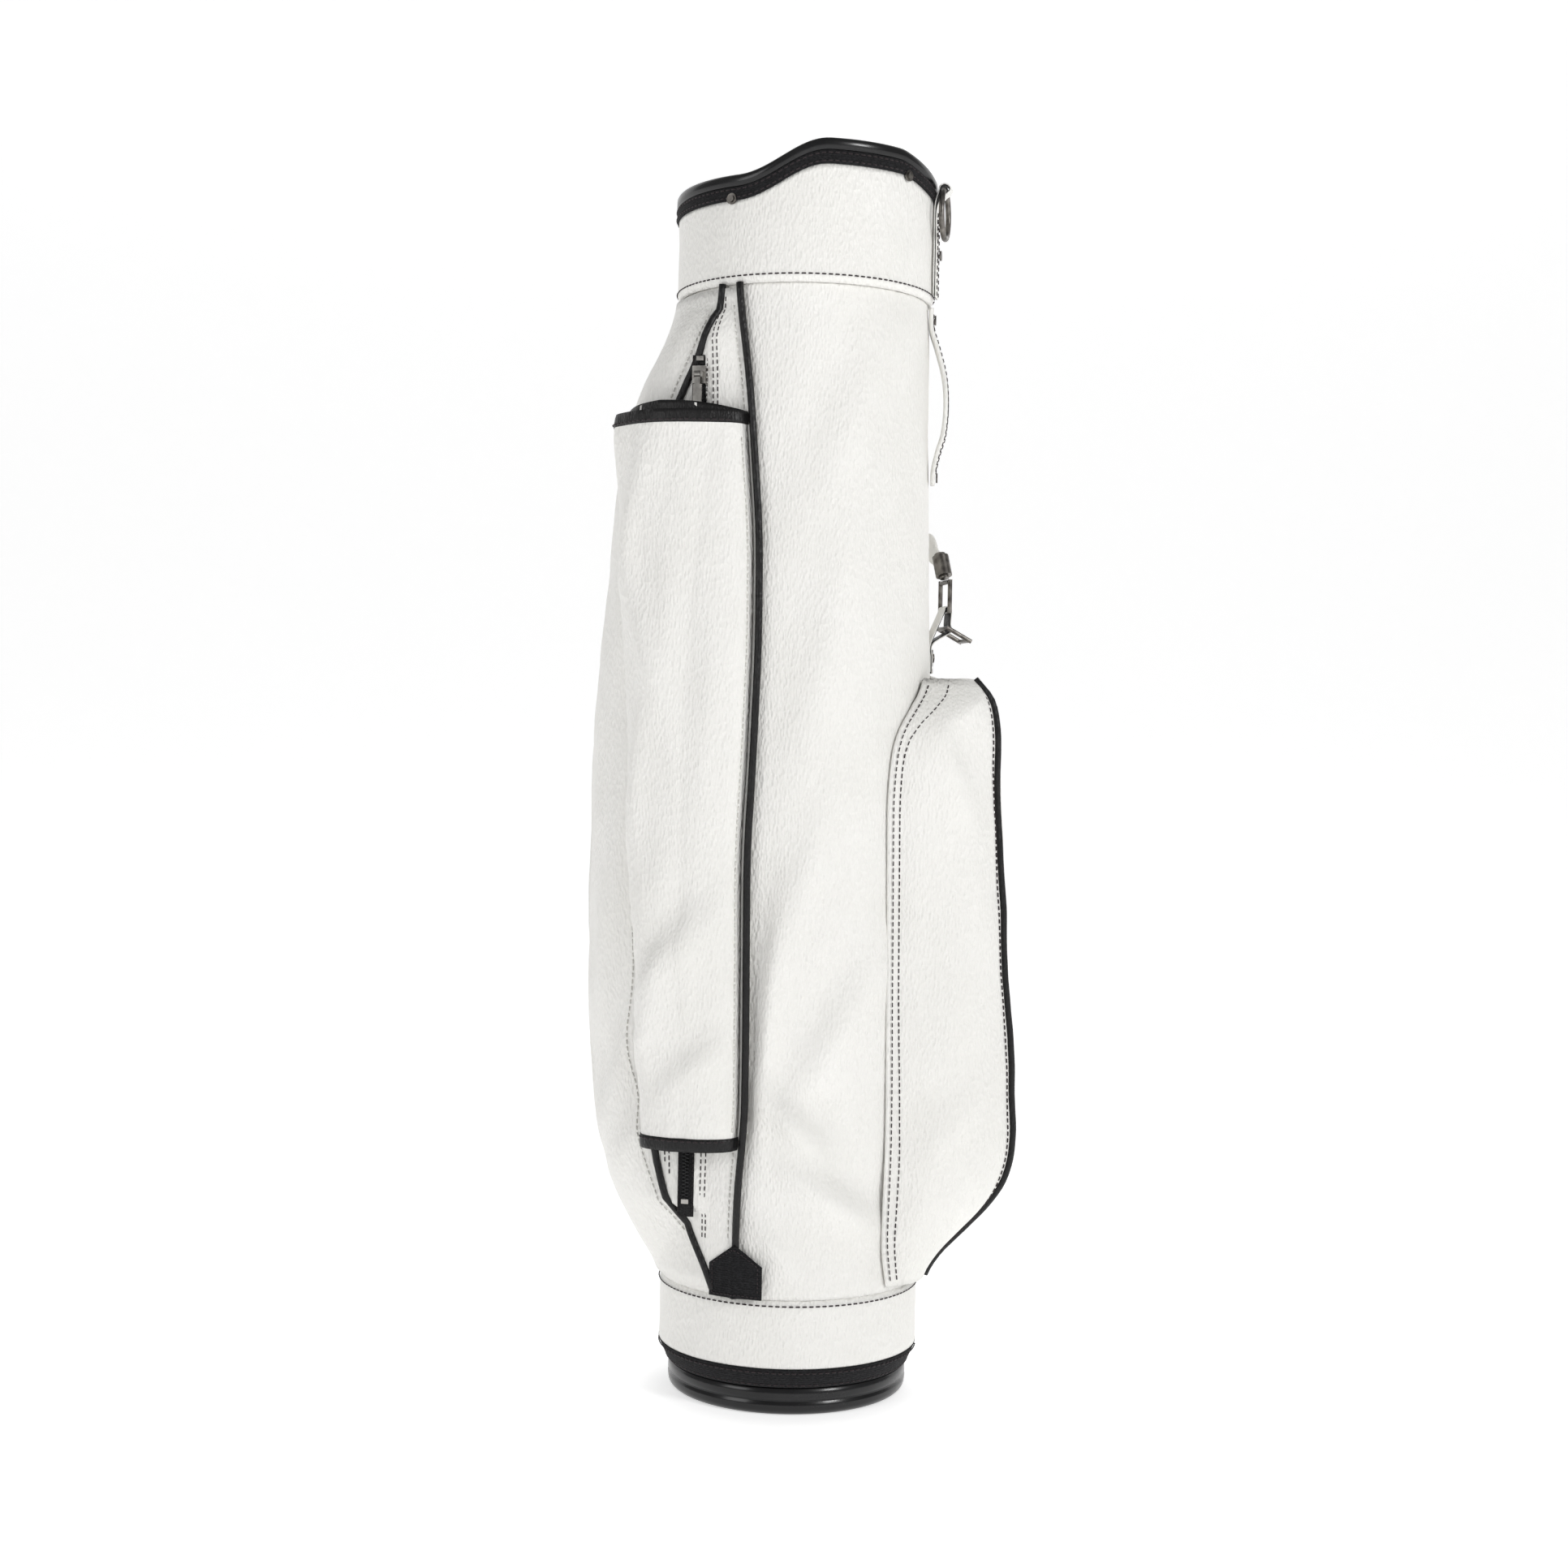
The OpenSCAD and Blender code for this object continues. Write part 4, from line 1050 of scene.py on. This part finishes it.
def make_handle():
    """A strip of leather bent in an upright plane through the axis, turned to its side of the bag."""
    width, thick, hem = 0.022, 0.0034, 0.0028
    route = metres([(x, 0, z) for x, z in HANDLE_ROUTE])
    line = resample(curve_through(route, 120), 0.002)
    verts, faces = sweep(line, strap_section(width, thick, 0.25))
    add("grab_handle", [on_side(HANDLE_ANGLE, v) for v in verts], faces, WHITE, slot="leatherette_white",
        replaces=["carry_handle"])
    rows = []
    for side in (-1, 1):
        row = []
        for i in range(2, len(line) - 2):
            t = (line[i + 1] - line[i - 1]).normalized()
            n = Vector((t.z, 0, -t.x))
            n = n if n.x > 0 or abs(n.x) < 1e-6 else -n
            edge = line[i] + Vector((0, side * (width / 2 - hem), 0))
            row.append(on_side(HANDLE_ANGLE, edge + n * (thick / 2 + 0.0001)))
        rows.append(stitches(row))
    sew("grab_handle_stitching", rows)


def tab_path(foot, sewn, eye, wire, spare, thick):
    """Up from the foot, round the ring's wire at the eye, round a spare ring if any, and back down."""
    way = 1 if eye[1] > foot[1] else -1
    inner = foot[0] + thick * 0.6
    outer = inner + 1.3 * thick
    grip = wire + thick * 0.8
    halfway = (sewn + foot[1]) / 2
    path = [(inner, foot[1]), (inner, halfway), (inner, sewn), (eye[0] - grip, eye[1] - way * 0.001)]
    path += [(eye[0] - grip * math.cos(math.radians(k)), eye[1] + way * grip * math.sin(math.radians(k)))
             for k in range(30, 180, 30)]
    path.append((eye[0] + grip, eye[1] - way * 0.001))
    if spare:
        path += [(spare[0] + grip * 1.05, spare[1] + grip), (spare[0] + grip * 1.3, spare[1]),
                 (spare[0] + grip * 1.05, spare[1] - grip)]
    path += [(outer + 0.0004, sewn), (outer, halfway), (outer, foot[1] - way * 0.002)]
    return [Vector((r, 0, z)) for r, z in path], way, outer


def folded_tab(name, node, angle, foot, sewn, eye, wire, width, spare=None):
    """A leather strip passed through a ring and sewn to itself; points are (radius, height)."""
    thick, hem = 0.0011, 0.0022
    path, way, outer = tab_path(foot, sewn, eye, wire, spare, thick)
    line = resample(curve_through(path, 160), 0.0012)

    def facing(t):
        return Vector((-t.z, 0, t.x)) * way

    face = strap_section(width, thick, 0.2)
    backing = [(u, v - 0.62 * thick) for u, v in strap_section(width - 0.0004, thick * 0.5, 0.2)]
    verts, faces = sweep(line, face, facing)
    add(name, [on_side(angle, v) for v in verts], faces, WHITE, slot="leatherette_white", replaces=[node])
    verts, faces = sweep(line, backing, facing)
    add(name + "_inside", [on_side(angle, v) for v in verts], faces, TRIM, slot="leather_black")
    lo, hi = sorted((foot[1], sewn))
    sew(name + "_stitching", [
        stitches([on_side(angle, Vector((outer + thick * 0.62, side * (width / 2 - hem), z)))
                  for z in levels(lo - 0.001, hi, 0.006)]) for side in (-1, 1)])


def make_tabs():
    """The towel ring's tab and the strap's two chapes."""
    on_cuff = CUFF_R + 0.0004
    on_barrel = BARREL_R + 0.0004
    top = high("ring_tab").z
    folded_tab("towel_ring_tab", "ring_tab", TAB_ANGLE, (on_cuff, low("ring_tab").z), top - 0.017,
               (0.099, top - 0.0047), 0.003, 0.011)
    in_end = 0.0032
    eye = (STRAP_AXIS_R, high("strap_lower_chape").z - in_end)
    foot = (on_barrel, low("strap_lower_chape").z)
    folded_tab("lower_chape", "strap_lower_chape", LOWER_CHAPE_ANGLE, foot, 0.528, eye, CHAPE_WIRE,
               CHAPE_WIDTH, spare=(0.107, 0.5395))
    eye = (STRAP_AXIS_R, low("strap_upper_chape").z + in_end)
    foot = (on_cuff, high("strap_upper_chape").z)
    folded_tab("upper_chape", "strap_upper_chape", UPPER_CHAPE_ANGLE, foot, 0.778, eye, CHAPE_WIRE,
               CHAPE_WIDTH)


def make_dividers():
    """Padded bars across the club mouth."""
    n = 40
    for node, along in (("divider_cross_bar", 1), ("divider_half_bar", 0)):
        lo, hi = low(node), high(node)
        size = hi - lo
        line = []
        for i in range(n + 1):
            q = (lo + hi) / 2
            q[along] = lo[along] + size[along] * i / n
            q.z -= 0.0015 * math.sin(math.pi * i / n)
            line.append(q)

        def section(s, wide=size[1 - along], tall=size.z - 0.001):
            puff = 1 - 0.12 * (1 - math.sin(math.pi * s) ** 0.4)
            return strap_section(wide * puff, tall, 0.4)

        verts, faces = sweep(line, section, facing=lambda t: Vector((0, 0, 1)))
        add(node + "_pad", verts, faces, FOAM, slot="foam", replaces=[node], subdiv=1)


# ---- Studio ----

CAMERA_AT = (-0.0098, -1.6, 0.461)
CAMERA_ROLL = 1.05
# Name, place, power in watts and size in metres
LIGHTS = (("key", (1.9, -1.9, 1.5), 29, 0.6), ("fill", (-2.2, -1.9, 1.2), 15, 1.2),
          ("back", (0.6, 2.6, 2.4), 10, 1.6))
LIGHTS_AIM = Vector((0, 0, 0.45))


def link(obj):
    bpy.context.scene.collection.objects.link(obj)
    return obj


def backdrop():
    """A pale floor that sweeps up into a wall, far enough behind to stay soft."""
    mat, _, bsdf, _ = blank("pale_backdrop", 0.95)
    bsdf.inputs["Base Color"].default_value = (0.92, 0.92, 0.92, 1)
    bsdf.inputs["Emission Color"].default_value = (1, 1, 1, 1)
    bsdf.inputs["Emission Strength"].default_value = 0.56
    half, front, back, bend, tall = 14.0, -10.0, 7.0, 4.0, 12.0
    line = [(front, 0.0), (back - bend, 0.0)]
    line += [(back - bend + bend * math.sin(math.radians(a)), bend - bend * math.cos(math.radians(a)))
             for a in range(5, 91, 5)]
    line.append((back, tall))
    verts = [(x, y, z) for y, z in line for x in (-half, half)]
    faces = [(2 * i, 2 * i + 1, 2 * i + 3, 2 * i + 2) for i in range(len(line) - 1)]
    mesh = bpy.data.meshes.new("backdrop")
    mesh.from_pydata(verts, [], faces)
    for poly in mesh.polygons:
        poly.use_smooth = True
    obj = bpy.data.objects.new("backdrop", mesh)
    obj.data.materials.append(mat)
    link(obj)


def camera():
    cam = bpy.data.cameras.new("camera")
    cam.lens = 51.5
    cam.sensor_width = 36.0
    cam.shift_y = -0.0316
    obj = bpy.data.objects.new("camera", cam)
    roll = Matrix.Rotation(math.radians(CAMERA_ROLL), 4, "Z")
    upright = Matrix.Rotation(math.radians(90), 4, "X")
    obj.matrix_world = Matrix.Translation(CAMERA_AT) @ upright @ roll
    bpy.context.scene.camera = link(obj)


def studio():
    camera()
    backdrop()
    world = bpy.data.worlds.new("studio")
    world.use_nodes = True
    world.node_tree.nodes["Background"].inputs["Color"].default_value = (1, 1, 1, 1)
    world.node_tree.nodes["Background"].inputs["Strength"].default_value = 0.26
    bpy.context.scene.world = world
    for name, place, power, size in LIGHTS:
        light = bpy.data.lights.new(name, "AREA")
        light.energy = power
        light.size = size
        lamp = link(bpy.data.objects.new(name, light))
        lamp.location = place
        lamp.rotation_euler = (LIGHTS_AIM - Vector(place)).to_track_quat("-Z", "Y").to_euler()
    bpy.context.scene.view_settings.view_transform = "Standard"


studio()
dress_cad_nodes()
make_barrel()
make_collar()
make_base()
make_apparel_pocket()
make_patches()
make_ball_pocket()
make_sleeve()
make_zip("apparel")
make_zip("ball")
make_handle()
make_tabs()
make_dividers()
make_strap()
